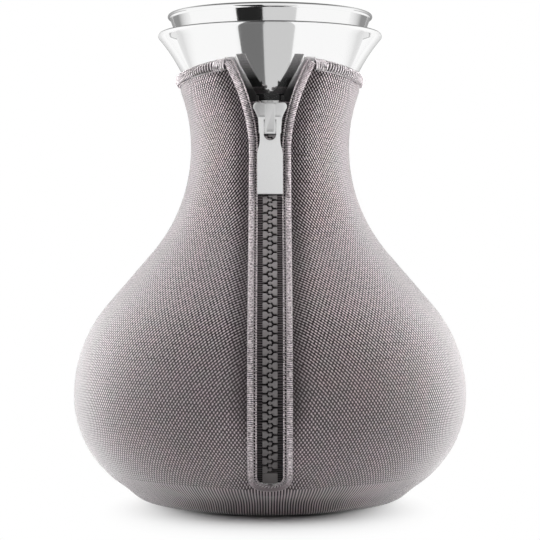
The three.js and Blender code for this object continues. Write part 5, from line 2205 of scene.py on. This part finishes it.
pivot_level = PLATE_HIGH + PULLER_PLAY + PULLER_THICKNESS / 2
bridge_inside = pivot_level + math.hypot(PULLER_THICKNESS, PULLER_BAR) / 2 + FIT_GAP
bridge_low = PLATE_HIGH + FIT_GAP
bridge_half_length = SLIDER_LENGTH / 2
strap_outline = rounded_box(
    -BRIDGE_HALF, BRIDGE_HALF, -bridge_half_length, bridge_half_length, BRIDGE_CORNER,
)
notch_foot = -bridge_half_length + NOTCH_RISE
notch = rounded_box(-NOTCH_HALF, NOTCH_HALF, notch_foot, notch_foot + NOTCH_HEIGHT, NOTCH_CORNER)
strap_points, strap_faces = cut_plate("strap", [strap_outline, notch], BRIDGE_WALL, BRIDGE_EDGE)
strap_middle = bridge_inside + BRIDGE_WALL / 2
strap = [front_at(slider_centre + p.y, p.x, strap_middle + p.z) for p in strap_points]
bridge_parts = [(strap, strap_faces)]
leg_top = bridge_inside + LEG_SUNK
for end in (slider_foot, slider_head - BRIDGE_WALL):
    bridge_parts.append(block(end, end + BRIDGE_WALL, -BRIDGE_HALF, BRIDGE_HALF, bridge_low, leg_top))
bridge = make_piece("bridge", gather(bridge_parts), light_shaded_zinc, "slider", ["slider_bridge"])
unmirrored(bridge)

# %% Puller outline
PULLER_LENGTH = 31.7
PULLER_HALF = 5.35
PULLER_TOP_HALF = 4.95
WAIST_HALF = 4.25
WAIST_DROP = 8.5
PLATE_DROP = 16.0
WINDOW_HALF = 2.6
WINDOW_LENGTH = 8.6
PULLER_EDGE = 0.2
PULLER_CORNER = 0.3
SIDE_STEPS = 14

waist_pull = WAIST_DROP / 2
plate_pull = (PLATE_DROP - WAIST_DROP) / 2
right_side = [(PULLER_TOP_HALF, PULLER_BAR / 2)]
right_side += curve_points(
    right_side[-1], (PULLER_TOP_HALF, -waist_pull), (WAIST_HALF, -waist_pull),
    (WAIST_HALF, -WAIST_DROP), SIDE_STEPS,
)
right_side += curve_points(
    right_side[-1], (WAIST_HALF, -WAIST_DROP - plate_pull), (PULLER_HALF, -PLATE_DROP + plate_pull),
    (PULLER_HALF, -PLATE_DROP), SIDE_STEPS,
)
right_side += [
    (PULLER_HALF, -PULLER_LENGTH + PULLER_CORNER), (PULLER_HALF - PULLER_CORNER, -PULLER_LENGTH),
]
puller_outline = [*right_side, *[(-x, y) for x, y in reversed(right_side)]]
window_foot = -PULLER_BAR / 2 - WINDOW_LENGTH + WINDOW_HALF
window = [(-WINDOW_HALF, -PULLER_BAR / 2)]
window += [
    (WINDOW_HALF * math.cos(angle), window_foot + WINDOW_HALF * math.sin(angle))
    for angle in steps(math.pi, 2 * math.pi, 20)
]
window += [(WINDOW_HALF, -PULLER_BAR / 2)]
plate_points, plate_faces = cut_plate("plate", [puller_outline, window], PULLER_THICKNESS, PULLER_EDGE)
print("waist of the puller:", 2 * WAIST_HALF, "mm")

# %% Puller
HANG_LENGTH = 32.4
PIPING_TOP = 3.5

# The puller hangs from its bar and rests on the piping at its tip, which gives its lean.
pivot_radius, pivot_height = section_at(slider_centre, pivot_level)
tip_level = PIPING_TOP + PULLER_PLAY + PULLER_THICKNESS / 2
tip_radius, tip_height = section_at(along_at(pivot_height - HANG_LENGTH), tip_level)
lean = math.atan2(tip_radius - pivot_radius, pivot_height - tip_height)
tilt = Matrix.Rotation(math.pi / 2 - lean, 4, "X")
hang = Matrix.Translation((0, -pivot_radius, pivot_height)) @ tilt
hung = [(hang @ point) * MM for point in plate_points]
puller = make_piece("puller", (hung, plate_faces), light_shaded_zinc, "puller", ["zip_puller"])
unmirrored(puller)
